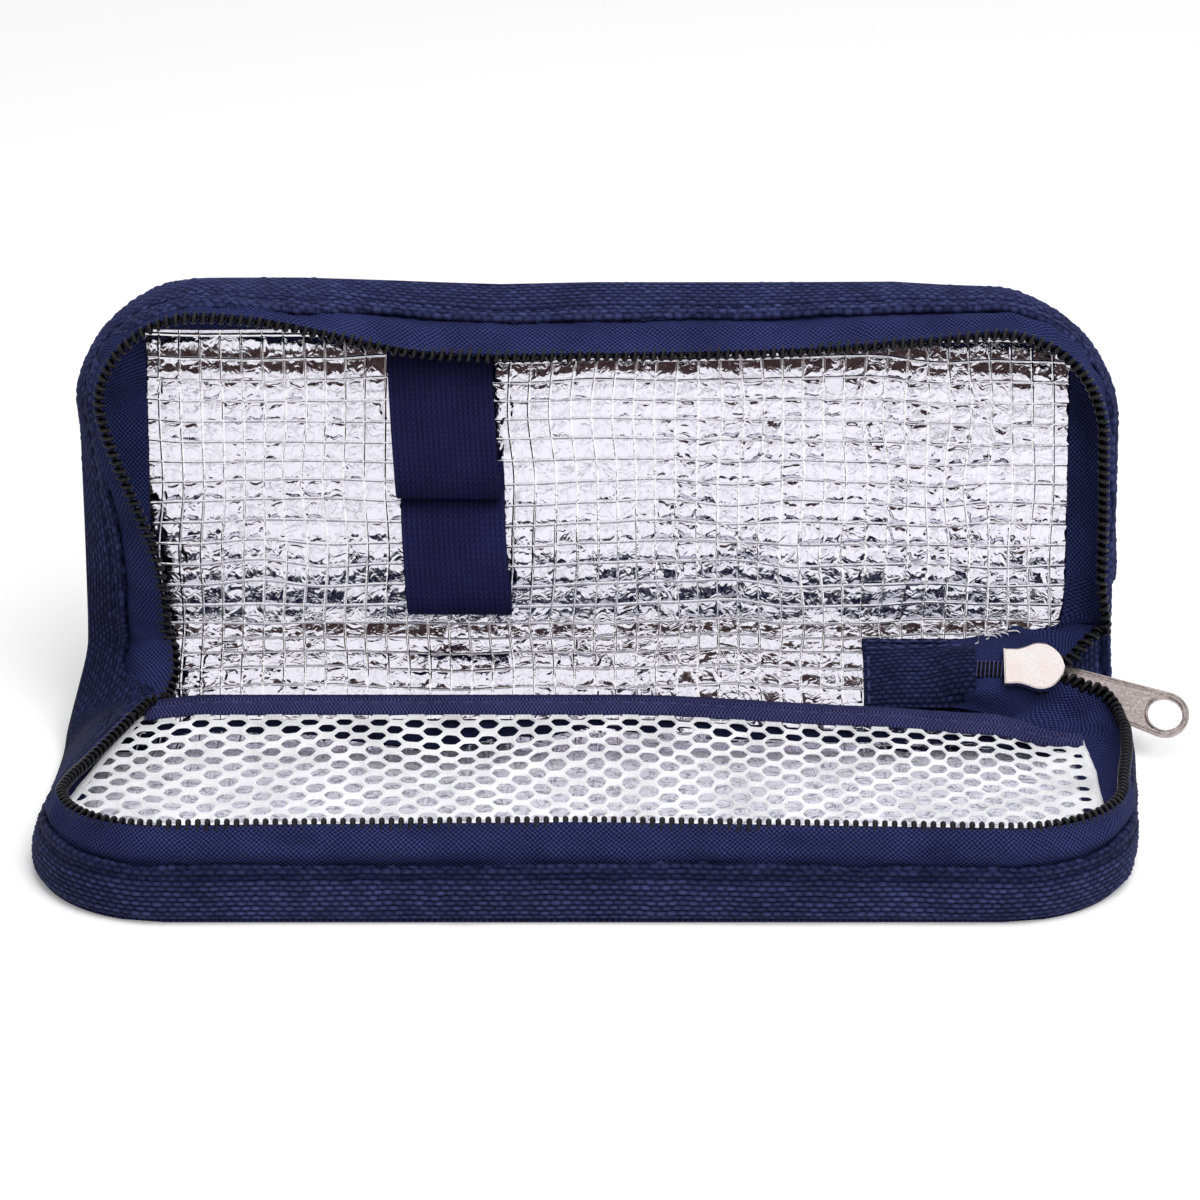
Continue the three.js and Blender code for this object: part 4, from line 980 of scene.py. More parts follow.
def left_bend(piece, part):
    """Rides on a leaf, or is baked where it lies at the fold at the left end of the spine."""
    at = lambda p: tuple(on_case(-90.0, p, 3.0))
    if part == "left_lower":
        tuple(at(1.5 - WALL_START))
        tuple(at(SPINE_MIDDLE - 1.5))
        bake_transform(piece)
    elif part == "left_upper":
        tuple(at(SPINE_MIDDLE + 1.5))
        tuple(at(SPINE_WIDTH + WALL_START - 1.5))
        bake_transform(piece)
    else:
        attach(piece, part)


print({name: len(stations) for name, stations in WALL_PARTS.items()})

# %% [markdown]
# ## Webbing binding
# The binding is folded over the raw edges, so its section is a long, flat ring with round ends.
# We sweep that ring along the wall and push its outer face out by the height of the yarns. Single
# stitches lie in a shallow dip below its upper edge. A bump map could give the yarns too, but
# they show on the outline of the case, and only real relief does that.

# %% Yarns of the webbing
YARN_LONG, YARN_HIGH = 1.9, 0.95
YARN_RELIEF = 0.5


def webbing_relief(u, v):
    """Height of a brick-like weave, from 0 in the gaps to 1 on a yarn's crown."""
    u, v = u + 0.3 * noise(u / 3.3, v / 2.1, 37), v + 0.16 * noise(u / 4.1 + 50, v / 2.6, 38)
    row = np.floor(v / YARN_HIGH)
    across = u / YARN_LONG + 0.5 * (row % 2)
    s, t = across % 1, (v / YARN_HIGH) % 1
    proud = 0.78 + 0.22 * cell_random(np.floor(across), row, 24)
    long_yarn = proud * np.sin(math.pi * s) ** 0.55 * np.sin(math.pi * t) ** 0.8
    cross_yarn = 0.28 * np.cos(math.pi * s) ** 12 * np.sin(math.pi * t) ** 0.5
    return np.maximum(long_yarn, cross_yarn)


print("yarns of the webbing:", YARN_LONG, "by", YARN_HIGH, "mm")

# %% Section of the binding and its stitches
BINDING_HEIGHT = 10.0
OUTER_ROWS, END_ROWS, INNER_ROWS = 60, 6, 16
OUTER_FACE = np.repeat((1.0, 0.0), (OUTER_ROWS + END_ROWS, INNER_ROWS + END_ROWS))[None, :]


def binding_ring(height):
    """Distances up the wall and out from it, once round the binding's section."""
    turn = np.linspace(0, math.pi, END_ROWS + 2)[1:-1]
    outer_d = np.linspace(BINDING_HALF, height - BINDING_HALF, OUTER_ROWS)
    inner_d = np.linspace(height - BINDING_HALF, BINDING_HALF, INNER_ROWS)
    head_d = height - BINDING_HALF + BINDING_HALF * np.sin(turn)
    foot_d = BINDING_HALF - BINDING_HALF * np.sin(turn)
    round_end = BINDING_HALF * np.cos(turn)
    outs = [0 * outer_d + BINDING_HALF, round_end, 0 * inner_d - BINDING_HALF, -round_end]
    return np.concatenate([outer_d, head_d, inner_d, foot_d]), np.concatenate(outs)


STITCH_LONG, STITCH_GAP = 2.6, 0.9
SEAM_AT = BINDING_HEIGHT - 2.0  # the seam's distance up the binding


def stitch_row(name, line, outward, thick, material, long=STITCH_LONG, gap=STITCH_GAP):
    """A seam of single stitches along a line of points. Each stitch dives in at its ends."""
    at = along_of(line)
    share = np.linspace(0, 1, 7)
    places = np.arange(gap, at[-1] - long, long + gap)[:, None] + long * share[None, :]
    spread = lambda table: np.stack([np.interp(places, at, table[:, k]) for k in range(3)], -1)
    unit = lambda table: table / np.linalg.norm(table, axis=-1, keepdims=True)
    up, way = unit(spread(outward)), unit(spread(np.gradient(line, axis=0)))
    side = np.cross(way, up)
    arch = np.sin(math.pi * share)[None, :, None]
    centre = spread(line) + up * thick * (1.2 * arch - 0.8) * MM
    turn = full_turn(6)[None, None, :, None]
    radius = thick * (0.4 + 0.6 * arch[..., None]) * MM
    round_yarn = np.cos(turn) * side[:, :, None] + np.sin(turn) * up[:, :, None]
    rings = centre[:, :, None] + radius * round_yarn
    per = len(share) * 6
    faces = []
    for k in range(len(places)):
        faces += grid_faces(len(share), 6, k * per, around=True).tolist()
        faces += [list(range(k * per, k * per + 6))[::-1], list(range(k * per + per - 6, k * per + per))]
    cloth = stacked(places[:, :, None] + 0 * turn[..., 0], turn[..., 0], 0)
    return mesh_piece(name, rings, facing_out(rings, faces), material, cloth)


print("stitches:", STITCH_LONG, "mm long, one every", STITCH_LONG + STITCH_GAP, "mm")

# %% Binding strips
# Left of the base and at the lid's left corner the binding reaches nearly up to the coil.
base_left = (wall["x"] < 0) * smooth((SPINE_MIDDLE + 4 - wall["p"]) / 10)
base_left = base_left * (1 - smooth((wall["v"] - 26) / 20))
lid_corner = (wall["p"] > SPINE_WIDTH) * smooth((-40 - wall["x"]) / 26) * smooth((wall["v"] - 30) / 16)
to_coil = np.maximum(wall["reach"] - 1.6, BINDING_HEIGHT) / BINDING_HEIGHT
wall["tall"] = mix(1.0, to_coil, base_left + 0.85 * lid_corner)
left_painted_shade = 1 - 0.45 * (lower_left + upper_left)  # painted shade: coloured darker at the left end, which lies in shade
left_pressed = 1 - (0.5 * lower_left + 0.3 * upper_left)  # and flatter
SEAM_SUNK, SEAM_THICK = 0.15, 0.26
for part, stations in WALL_PARTS.items():
    u = wall["u"][stations][:, None]
    tall = wall["tall"][stations][:, None]
    d, out = binding_ring(BINDING_HEIGHT)
    stitched = math.pi * u / (STITCH_LONG + STITCH_GAP)
    slack_edge = 0.2 * noise(u / 3.1, 0 * u, 21) + 0.4 * noise(u / 11, 0 * u, 22)
    edge_wave = 0.3 * np.abs(np.sin(stitched)) + slack_edge
    d = d[None, :] * (1 + edge_wave / BINDING_HEIGHT * smooth(d / BINDING_HEIGHT))
    yarns = webbing_relief(u, d * tall)
    if part == "base":
        yarns = yarns * (1 - 0.4 * smooth((d - 6.2) / 1.5))  # folded flat along its upper edge
    swell = 0.3 * np.sin(math.pi * np.clip(d / BINDING_HEIGHT, 0, 1)) + 0.3 * noise(u / 9, d / 6, 23)
    drawn_in = 0.5 * np.exp(-(((d - SEAM_AT) / 0.55) ** 2)) * (0.6 + 0.4 * np.sin(2 * stitched))
    pressed = left_pressed[stations][:, None] * (1 - 0.7 * smooth((d / BINDING_HEIGHT - 0.72) / 0.15))
    out = out[None, :] + OUTER_FACE * ((yarns - 0.5) * YARN_RELIEF * pressed + swell - drawn_in)
    d = d * tall
    # the tone carries the painted shade of the left end into the webbing's colour
    rings, tone = wall_points(stations, d, out), yarns * left_painted_shade[stations][:, None]
    binding = strip_piece("webbing_binding_" + part, rings, webbing, stacked(u, d, 0), tone)
    left_bend(binding, part)
    nodes = {"base": "base_binding", "lid": "lid_binding"}
    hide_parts(nodes.get(part, "spine_binding_left"))
    seam = wall_points(stations, SEAM_AT * tall, BINDING_HALF - SEAM_SUNK)[:, 0]
    seam_out = wall_points(stations, SEAM_AT * tall, BINDING_HALF + 2.0)[:, 0] - seam
    stitching = stitch_row("binding_seam_" + part, seam, seam_out, SEAM_THICK, thread_navy)
    left_bend(stitching, part)
    print(binding.name, len(binding.data.polygons), stitching.name, len(stitching.data.polygons))

# %% [markdown]
# ## Zip tape
# The tape comes out of the binding and ends in the coil. It is thin and a little slack, so it
# ripples between its two sewn edges. The sewn edges themselves stay where they are.

# %% Tape strips
TAPE_HALF = 0.3
TAPE_COLUMNS = 26
FLOOR_COLUMNS = 14
FLOOR_LEVEL_IN = 4.7  # the tape's lower edge lies on the lining


def tape_piece(name, middle, u, across):
    """A thin tape about a grid of points."""
    normal = normals_of(middle) * TAPE_HALF * MM
    return sheet_piece(name, middle + normal, middle - normal, tape_cloth, stacked(u, across, 0))


def ripples(u, share):
    """How far slack tape stands off its sewn edges."""
    long_waves, short_waves = noise(u / 10, share * 2, 31), noise(u / 4, share * 3, 32)
    return np.sin(math.pi * share) * (0.75 * long_waves + 0.4 * short_waves)


def curve(a, b, c, t):
    """A smooth bend from a to c that heads for b (a quadratic Bezier)."""
    return (1 - t) ** 2 * a + 2 * t * (1 - t) * b + t**2 * c


def wall_tape(stations):
    """Points of the tape, from the lining over the inside of the binding to the coil."""
    u = wall["u"][stations][:, None]
    share = np.linspace(0, 1, TAPE_COLUMNS)[None, :]
    leave = BINDING_HEIGHT - 1.0
    d = mix(leave, wall["reach"][stations][:, None] + 0.15, share)
    out = mix(-BINDING_HALF - 0.35, 0, smooth(share * 2.2)) + ripples(u, share)
    rise_in, rise_high = wall_section(stations, d, out)
    top_in, top_high = rise_in[:, :1], rise_high[:, :1]
    turn_in = top_in - (top_high - FLOOR_LEVEL_IN) / np.tan(wall["angle"][stations][:, None])
    floor_in = np.maximum(wall["floor"][stations][:, None], np.maximum(turn_in, top_in) + 0.8)
    t = np.linspace(0, 1, FLOOR_COLUMNS + 1)[None, :-1]
    flat_in = curve(floor_in, turn_in, top_in, t)
    flat_high = curve(FLOOR_LEVEL_IN, FLOOR_LEVEL_IN, top_high, t) + 0 * flat_in
    inset = np.concatenate([flat_in, rise_in], 1)
    height = np.concatenate([flat_high, rise_high], 1)
    steps = np.hypot(np.diff(inset, axis=1), np.diff(height, axis=1))
    across = np.concatenate([np.zeros_like(u), np.cumsum(steps, 1)], 1)
    return from_edge(stations, inset, height), u, across


for part, stations in WALL_PARTS.items():
    stations = np.unique(np.append(stations[::2], stations[-1]))
    tape = tape_piece("zip_tape_" + part, *wall_tape(stations))
    left_bend(tape, part)
    nodes = {"base": "base_zip_tape", "lid": "lid_zip_tape",
             "left_lower": "zip_gusset_left_base", "left_upper": "zip_gusset_left_lid"}
    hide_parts(nodes[part])
    print(tape.name, len(tape.data.polygons))

# %% [markdown]
# ## Nylon coil
# A coil zip is a filament wound into a flattened spring and sewn to the tape's edge. One helix
# with a turn every 1.75 mm gives it. The filament is thicker at its head, where it hooks into
# the other side, and the heads stand clear of the tape, so light shows between them. A cord runs
# inside the coil, as in most coil zips, and keeps light from showing through its turns.

# %% Coil
COIL_PITCH = 1.75
COIL_ACROSS, COIL_DEEP = 0.95, 0.7
FILAMENT = 0.5
TURN_STEPS, FILAMENT_SIDES = 16, 7
COIL_INSIDE = 0.8  # the coil is sewn to the inner face of the tape


def coil_piece(name, rim, upward, outward, square, phase=0.0):
    """A helix round a line of points. Upward points to the coil's heads and outward out of the tape."""
    along = along_of(rim)
    turns = along[-1] / COIL_PITCH
    at = np.linspace(0, along[-1], max(24, round(turns * TURN_STEPS)) + 1)
    angle = 2 * math.pi * at / COIL_PITCH + phase
    # Where the coil is square, the filament crosses at its head and steps on to the next turn at its heel.
    step = np.interp(at, along, square) * COIL_PITCH / (2 * math.pi)
    at = at - step * (4 / 3 * np.sin(angle) - np.sin(2 * angle) / 6)
    spread = lambda table: np.stack([np.interp(at, along, table[:, k]) for k in range(3)], -1)
    centre, head, side = spread(rim), spread(upward), spread(outward)
    to_head, to_side = np.cos(angle)[:, None], np.sin(angle)[:, None]
    wire = centre + (head * (COIL_ACROSS * to_head) + side * (COIL_DEEP * to_side)) * MM
    way = np.gradient(wire, axis=0)
    way /= np.linalg.norm(way, axis=1, keepdims=True)
    radial = head * to_head + side * to_side
    radial -= way * (radial * way).sum(1, keepdims=True)
    radial /= np.linalg.norm(radial, axis=1, keepdims=True)
    bitangent = np.cross(way, radial)
    radius = (FILAMENT + 0.1 * np.maximum(np.cos(angle), 0) ** 3)[:, None, None] * MM
    turn = full_turn(FILAMENT_SIDES)[None, :, None]
    rings = wire[:, None] + radius * (np.cos(turn) * radial[:, None] + np.sin(turn) * bitangent[:, None])
    # painted highlight: the outer side of each turn, coloured lighter by the nylon shader
    painted_crown_light = np.maximum(np.cos(turn[..., 0]), 0) ** 6 + 0 * angle[:, None]
    return strip_piece(name, rings, nylon, rings / MM, painted_crown_light)


CORD_DOWN, CORD_ACROSS, CORD_DEEP = 0.25, 0.62, 0.5


def cord_piece(name, rim, upward, outward):
    """The cord inside a coil, a little below its middle."""
    turn = full_turn(8)[None, :, None]
    upward, outward = upward[:, None], outward[:, None]
    heel = rim[:, None] - upward * CORD_DOWN * MM
    rings = heel + (upward * CORD_ACROSS * np.cos(turn) + outward * CORD_DEEP * np.sin(turn)) * MM
    return strip_piece(name, rings, nylon, rings / MM, np.zeros(rings.shape[:2]))


def directions(low, rim, outward_hint):
    """Unit vectors up the strip and square to it, for a coil on its rim."""
    upward = rim - low
    upward /= np.linalg.norm(upward, axis=1, keepdims=True)
    way = np.gradient(rim, axis=0)
    outward = np.cross(way, upward)
    outward /= np.linalg.norm(outward, axis=1, keepdims=True)
    flip = np.sign((outward * outward_hint).sum(1, keepdims=True))
    return upward, outward * np.where(flip == 0, 1, flip)


for part, stations in WALL_PARTS.items():
    stations = np.unique(np.append(stations[::3], stations[-1]))
    reach = wall["reach"][stations][:, None]
    rim = wall_points(stations, reach - 0.1, -COIL_INSIDE)[:, 0]
    low = wall_points(stations, reach - 2, -COIL_INSIDE)[:, 0]
    hint = wall_points(stations, reach, 1.0)[:, 0] - rim
    square = 0.3 + 0.7 * smooth((wall["v"][stations] - 58) / 8) * (part == "base")
    coil = coil_piece("zip_coil_" + part, rim, *directions(low, rim, hint), square)
    cord = cord_piece("zip_cord_" + part, rim, *directions(low, rim, hint))
    nodes = {"base": "base_zip_coil", "lid": "lid_zip_coil",
             "left_lower": "zip_end_coil_left_base", "left_upper": "zip_end_coil_left_lid"}
    for piece in (coil, cord):
        left_bend(piece, part)
        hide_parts(nodes[part])
    print(coil.name, len(coil.data.polygons))

# %% [markdown]
# ## The right end of the spine
# Here the zip leaves the wall: both coils swing in to the slider, whose flat back faces us, and
# the tape follows. A smooth line through a few chosen places carries each edge of the strip. The
# coils end inside the slider, since left of it they mesh, and that chain is made with the tab.

# %% Slider's place and the lines of the strips
ZIP_LINE = 13.3
ZIP_LEVEL = 8.5
SLIDER_START, SLIDER_LENGTH = 78.8, 12.0
MOUTH = SLIDER_START + SLIDER_LENGTH + 0.3


def through(points, count):
    """A smooth line through points, as many steps between each two (Catmull-Rom)."""
    points = np.asarray(points, float)
    padded = np.concatenate([[2 * points[0] - points[1]], points, [2 * points[-1] - points[-2]]])
    t = np.linspace(0, len(points) - 1, count)[:, None]
    k = np.minimum(t.astype(int), len(points) - 2)
    f = t - k
    a, b, c, d = (padded[k[:, 0] + i] for i in range(4))
    square = (2 * a - 5 * b + 4 * c - d) * f**2
    cube = (3 * b - a - 3 * c + d) * f**3
    return 0.5 * (2 * b + (c - a) * f + square + cube)


TAB_START, TAB_END, TAIL_START = 52.0, 73.4, 60.0


def tail_level(x):
    """Height of the closed zip, which comes down from the slider to the lining under the tab."""
    return mix(PANEL_THICK + 1.0, ZIP_LEVEL, smooth((x - TAIL_START - 2) / (TAB_END - TAIL_START - 2)))


CHAIN_HALF = 0.95
LINE_POINTS = 150


def right_lines(leaf):
    """Rim, turn and sewn edge of a tape from the leaf's wall, past the slider, to the tail."""
    last = np.array([0]) if leaf == "base" else np.array([len(wall["x"]) - 1])
    wall_line = wall_tape(last)[0][0]
    rim = [wall_line[-1]]
    turn = [from_edge(last, np.array([[2.2]]), np.array([[FLOOR_LEVEL_IN]]))[0, 0]]
    sewn = [wall_line[0]]
    side = -1 if leaf == "base" else 1
    if leaf == "base":
        rim += [on_case(100.2, -3.5, 11.6), on_spine(97.3, 8.2, 9.9), on_spine(94.0, 9.6, 9.2)]
        turn += [on_case(98.5, -4.0, 5.6), on_spine(95.0, 3.4, 6.4), on_spine(91.5, 5.2, 6.8)]
        sewn += [on_case(90.5, -7.0, 5.6), on_spine(88.5, 0.6, 6.0), on_spine(85.0, 2.4, 6.0)]
    else:
        rim += [on_case(99.0, 28.0, 11.4), on_spine(97.6, 21.0, 10.4), on_spine(94.4, 18.2, 9.4)]
        turn += [on_case(98.0, 29.0, 5.2), on_spine(95.5, 24.0, 6.6), on_spine(91.5, 20.6, 6.8)]
        sewn += [on_case(90.8, 31.0, 5.2), on_case(89.4, 26.8, 5.3), on_spine(84.5, 23.2, 5.6)]
    rim += [on_spine(MOUTH, ZIP_LINE + side * 2.0, ZIP_LEVEL)]
    turn += [on_spine(88.0, ZIP_LINE + side * 6.2, 6.9)]
    more = 0.0 if leaf == "base" else 1.1  # the upper tape shows more of its width
    sewn += [on_spine(81.0, ZIP_LINE + side * (9.2 + more), 5.8)]
    for x, wide in ((SLIDER_START + 3, 8.4 + more), (TAB_END, 6.4 + 1.5 * more), (TAIL_START, 4.6)):
        rim.append(on_spine(x, ZIP_LINE + side * CHAIN_HALF, tail_level(x)))
        turn.append(on_spine(x - 1, ZIP_LINE + side * 0.6 * wide, tail_level(x) - 0.4))
        sewn.append(on_spine(x - 2, ZIP_LINE + side * wide, PANEL_THICK + 0.9))
    return *(through(line, LINE_POINTS) for line in (rim, turn, sewn)), wall_line


print("slider runs from x =", SLIDER_START, "and its mouth is at", round(MOUTH, 1))

# %% Tape and coil of the right end
RIGHT_PARTS = {
    "right_lower": ("base", "zip_gusset_right_base", "zip_end_coil_right_base"),
    "right_upper": ("lid", "zip_gusset_right_lid", "zip_end_coil_right_lid"),
}


def right_bend(piece, part):
    """Is baked where it lies, at one of the folds at the right end of the spine."""
    at = lambda p: tuple(on_case(96.0, p, 6.0))
    if part.endswith("lower"):
        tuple(at(2.0 - WALL_START))
        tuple(at(4.0))
        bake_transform(piece)
    else:
        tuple(at(SPINE_WIDTH - 4.0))
        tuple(at(SPINE_WIDTH + WALL_START - 2.0))
        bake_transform(piece)


for part, (leaf, tape_node, coil_node) in RIGHT_PARTS.items():
    rim, turn, sewn, wall_line = right_lines(leaf)
    share = np.linspace(0, 1, TAPE_COLUMNS + FLOOR_COLUMNS)[None, :, None]
    middle = curve(sewn[:, None], turn[:, None], rim[:, None], share)
    fade = 1 - smooth(np.arange(len(rim)) / 40)
    middle = middle + (wall_line - middle[0]) * fade[:, None, None]
    u = along_of(rim)[:, None]
    slack_tape = ripples(u + 400, share[..., 0]) * (1 - fade[:, None])
    middle = middle + normals_of(middle) * slack_tape[..., None] * 0.7 * MM
    tape = tape_piece("zip_tape_" + part, middle, u, share[..., 0] * 13)
    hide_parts(tape_node)
    inner = on_spine(80.0, ZIP_LINE, 40.0) - rim
    phase = 0.0 if leaf == "base" else math.pi
    upward, inward = directions(middle[:, -4], rim, inner)
    line = rim + inward * COIL_INSIDE * fade[:, None] * MM
    open_run = slice(0, int(np.argmax(rim[:, 0] < (SLIDER_START + 2) * MM)))  # then the coils mesh
    line, upward, inward = line[open_run], upward[open_run], inward[open_run]
    coil = coil_piece("zip_coil_" + part, line, upward, inward, np.full(len(line), 0.25), phase)
    cord = cord_piece("zip_cord_" + part, line, upward, inward)
    right_bend(tape, part)
    for piece in (coil, cord):
        right_bend(piece, part)
        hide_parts(coil_node, "zip_tail")
    print(tape.name, coil.name)

# %% [markdown]
# ## Binding of the right end
# With the zip gone from it, the bound edge is low here, and dips once more under the pull. Its
# inner leaf lies on the lining behind the zip. Both are swept along p as the rest of the binding.

# %% Binding of the right end
RIGHT_LOW = 4.8  # height of the bound edge where the zip has left it


def right_binding(part, p_start, p_end):
    """Bound edge across the right end of the spine, lower where the zip has left it."""
    p = np.linspace(p_start, p_end, round(abs(p_end - p_start) / STATION) + 1)[:, None]
    beyond = np.maximum(np.maximum(-p, p - SPINE_WIDTH), 0)
    under_pull = 1.3 * np.exp(-(((p - 3) / 3.5) ** 2))
    height = mix(RIGHT_LOW - under_pull, BINDING_HEIGHT, smooth(beyond / WALL_START))
    d, out = binding_ring(BINDING_HEIGHT)
    d = d[None, :] * height / BINDING_HEIGHT
    yarns = webbing_relief(p, d + 0 * p)
    out = out[None, :] + OUTER_FACE * ((yarns - 0.5) * YARN_RELIEF + 0.3 * np.sin(math.pi * d / height))
    lean = np.where(p < SPINE_MIDDLE, BASE_LEAN[-1][1], LID_LEAN[-1][1]) * smooth(beyond / WALL_START)
    inward = 1 - out + lean * d / 16
    rings = on_case(HALF_RIGHT - inward, p, d + 0 * out)
    return strip_piece("webbing_binding_" + part, rings, webbing, stacked(p, d, 0), yarns)


FLAP_IN, FLAP_LEVEL = 87.0, 4.4


def right_flap(part, p_start, p_end):
    """The binding's inner leaf, lying on the lining behind the zip."""
    p = np.linspace(p_start, p_end, round((p_end - p_start) / 0.4) + 1)[:, None]
    inner = FLAP_IN + 9 * smooth((np.abs(p - SPINE_MIDDLE) - 9) / 9)
    x = mix(inner, HALF_RIGHT - 1.5, np.linspace(0, 1, 40)[None, :])
    yarns = webbing_relief(p + 0 * x, x + 0 * p)
    top, low = on_case(x, p, FLAP_LEVEL + 0.35 * yarns), on_case(x, p, FLAP_LEVEL - 0.25)
    return sheet_piece("webbing_flap_" + part, top, low, webbing, stacked(p + 0 * x, x, 0), yarns)


RIGHT_ENDS = {"right_lower": (-WALL_START, SPINE_MIDDLE),
              "right_upper": (SPINE_MIDDLE, SPINE_WIDTH + WALL_START)}
for part, ends in RIGHT_ENDS.items():
    for piece in (right_binding(part, *ends), right_flap(part, *ends)):
        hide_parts("spine_binding_right")
        right_bend(piece, part)
        print(piece.name, len(piece.data.polygons))

# %% [markdown]
# ## The mesh pocket
# The net is a knitted polyester mesh with six-sided holes, one every 7 mm along a row. It hangs
# from a bound edge at the spine side and is sewn in round the walls. A picture of a net on a flat
# sheet would look right from one side only, so each hole is a ring of faces between the middle of
# its strands and its rounded opening: the strands have real thickness and meet in thick knots.

# %% Height of the net
NET_PITCH = 6.8
NET_ROW = 2.4
STRAND = 0.6
MOUTH_V, NET_LOW = 9.6, 6.8  # where the net goes under its bound edge, and its height at the front
EDGE_BACK = 3.4


def mouth_level(x):
    """Height of the pocket's mouth over the outer cloth: slack, and lower towards both ends."""
    right = 2.5 * smooth((x - 5) / 50) + 1.0 * smooth((x - 50) / 25) + 2.6 * smooth((x - 74) / 14)
    return 12.3 - right - 1.2 * smooth((-74 - x) / 12)


def net_level(x, v):
    """Height of the net, which droops a little between its edges."""
    fall = smooth((v - MOUTH_V) / 48)
    droop = 0.8 * noise(x / 24, v / 20, 41) + 0.3 * noise(x / 9, v / 9, 42)
    free = smooth((v - MOUTH_V) / 8) * smooth((86 - np.abs(x)) / 12)
    return mix(mouth_level(x), NET_LOW, fall**0.8) + droop * free


print("mouth of the pocket:", [round(float(mouth_level(x)), 1) for x in (-90, 0, 90)], "mm high")

# %% Outline of the net inside the wall
def inside_wall(s):
    """Places where the net meets the wall, by distance along the base's edge."""
    x, v, turn = leaf_edge(BASE_LEFT, s)
    run = edge_run(BASE_LEFT)
    lean = np.maximum(lean_at(BASE_LEAN, s), 0)
    inset = 1.5 + 0.92 * lean + 4.0 * smooth((s / run - 0.52) / 0.2)
    return x + np.cos(turn) * inset, v - np.sin(turn) * inset


net_s = np.linspace(0, edge_run(BASE_LEFT), 2400)
net_x, net_v = inside_wall(net_s)
NET_FRONT = float(net_v.max())
front_at = int(net_v.argmax())


def net_edges(v):
    """Left and right limits of the net at a distance from the fold."""
    left = np.interp(v, np.maximum.accumulate(net_v[: front_at + 1]), net_x[: front_at + 1])
    right = np.interp(v, np.maximum.accumulate(net_v[front_at:][::-1]), net_x[front_at:][::-1])
    return left, right - 1.2 * (1 - smooth((v - 8) / 16))


print("net runs to v =", round(NET_FRONT, 1))

# %% Net
HOLE_POINTS = 18
NET_COLUMNS = range(-17, 18)
ROUNDED = 0.6  # how far a hole is from a hexagon towards an oval
CREST, SHOULDER = 0.36, 0.27  # how far a strand stands off the net's middle


def cell_rim(corners):
    """Points along the six sides of a cell, in one of its two directions."""
    sides = zip(corners, np.roll(corners, -1))
    return np.concatenate([np.linspace(a, b, HOLE_POINTS // 6, endpoint=False) for a, b in sides])


def net_mesh():
    """Points of the flat net as (x, v, lift), and its faces."""
    points, faces = [], []
    angle = full_turn(HOLE_POINTS)
    side = NET_PITCH / 3
    rim_x = cell_rim(side * np.array([2, 1, -1, -2, -1, 1]) / 2)
    rim_v = cell_rim(NET_ROW * np.array([0, 1, 1, 0, -1, -1]))
    shrink = 1 - STRAND / np.hypot(rim_x, rim_v)
    rows = int((NET_FRONT - MOUTH_V + 3) / NET_ROW) + 1
    start = 0
    for row in range(rows):
        centre_v = MOUTH_V - 1.5 + row * NET_ROW
        for column in NET_COLUMNS:
            centre_x = NET_PITCH * (column + (row % 2) / 2)
            left, right = net_edges(np.clip(centre_v, 0, NET_FRONT))
            if not left - 1.2 < centre_x < right + 1.2:
                continue
            # Towards the left the net is stretched less, so its holes are flatter.
            tall = mix(0.58, 0.82, smooth((centre_x + 75) / 130))
            # Along the right wall it is bunched, so they are smaller.
            crowded = smooth((centre_x - right + 15) / 12)
            tall = tall * (1 - 0.45 * crowded)
            hole_x = mix(rim_x * shrink, np.cos(angle) * side * 0.86, ROUNDED) * (1 - 0.3 * crowded)
            hole_v = mix(rim_v * shrink, np.sin(angle) * NET_ROW, ROUNDED) * tall
            middle_x, middle_v = mix(rim_x, hole_x, 0.62), mix(rim_v, hole_v, 0.62)
            rings = [(rim_x, rim_v, CREST), (middle_x, middle_v, SHOULDER), (hole_x, hole_v, 0.0),
                     (middle_x, middle_v, -SHOULDER), (rim_x, rim_v, -CREST)]
            for ring_x, ring_v, lift in rings:
                v = np.clip(centre_v + ring_v, MOUTH_V - 3, NET_FRONT)
                low, high = net_edges(v)
                points.append(stacked(np.clip(centre_x + ring_x, low, high), v, lift))
            faces.append(grid_faces(5, HOLE_POINTS, start, around=True))
            start += 5 * HOLE_POINTS
    return np.concatenate(points), np.concatenate(faces)


net_points, net_faces = net_mesh()
nx, nv, nw = net_points.T
slack_room = smooth((nv - MOUTH_V) / 6) * smooth((NET_FRONT - nv) / 4)
nx = nx + slack_room * (0.7 * noise(nx / 9, nv / 7, 45) + 0.35 * noise(nx / 4, nv / 4, 46))
nv = nv + slack_room * (0.5 * noise(nx / 8 + 9, nv / 6, 47) + 0.25 * noise(nx / 4 + 9, nv / 4, 48))
# painted shade: each strand is coloured a little greyer on its underside than on its top
net = mesh_piece("white_net", on_case(nx, -nv, net_level(nx, nv) + nw), net_faces, net_white,
                 stacked(nx, nv, 0), np.clip(0.5 + nw, 0, 1))
print("net faces before merging:", len(net.data.polygons))

# %% Join the holes into one net
joined = bmesh.new()
joined.from_mesh(net.data)
bmesh.ops.remove_doubles(joined, verts=joined.verts, dist=0.02 * MM)
bmesh.ops.recalc_face_normals(joined, faces=joined.faces)
joined.to_mesh(net.data)
joined.free()
net.data.polygons.foreach_set("use_smooth", np.ones(len(net.data.polygons), bool))
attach(net, "base")
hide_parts("pocket_net")
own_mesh(net)
print(net.name, len(net.data.polygons))

# %% [markdown]
# ## Edging of the net
# Along its left and right sides the net is turned in, which closes the cut holes with a soft roll.
# A thin strip of uneven width gives that roll, and it hides where the holes were cut off.

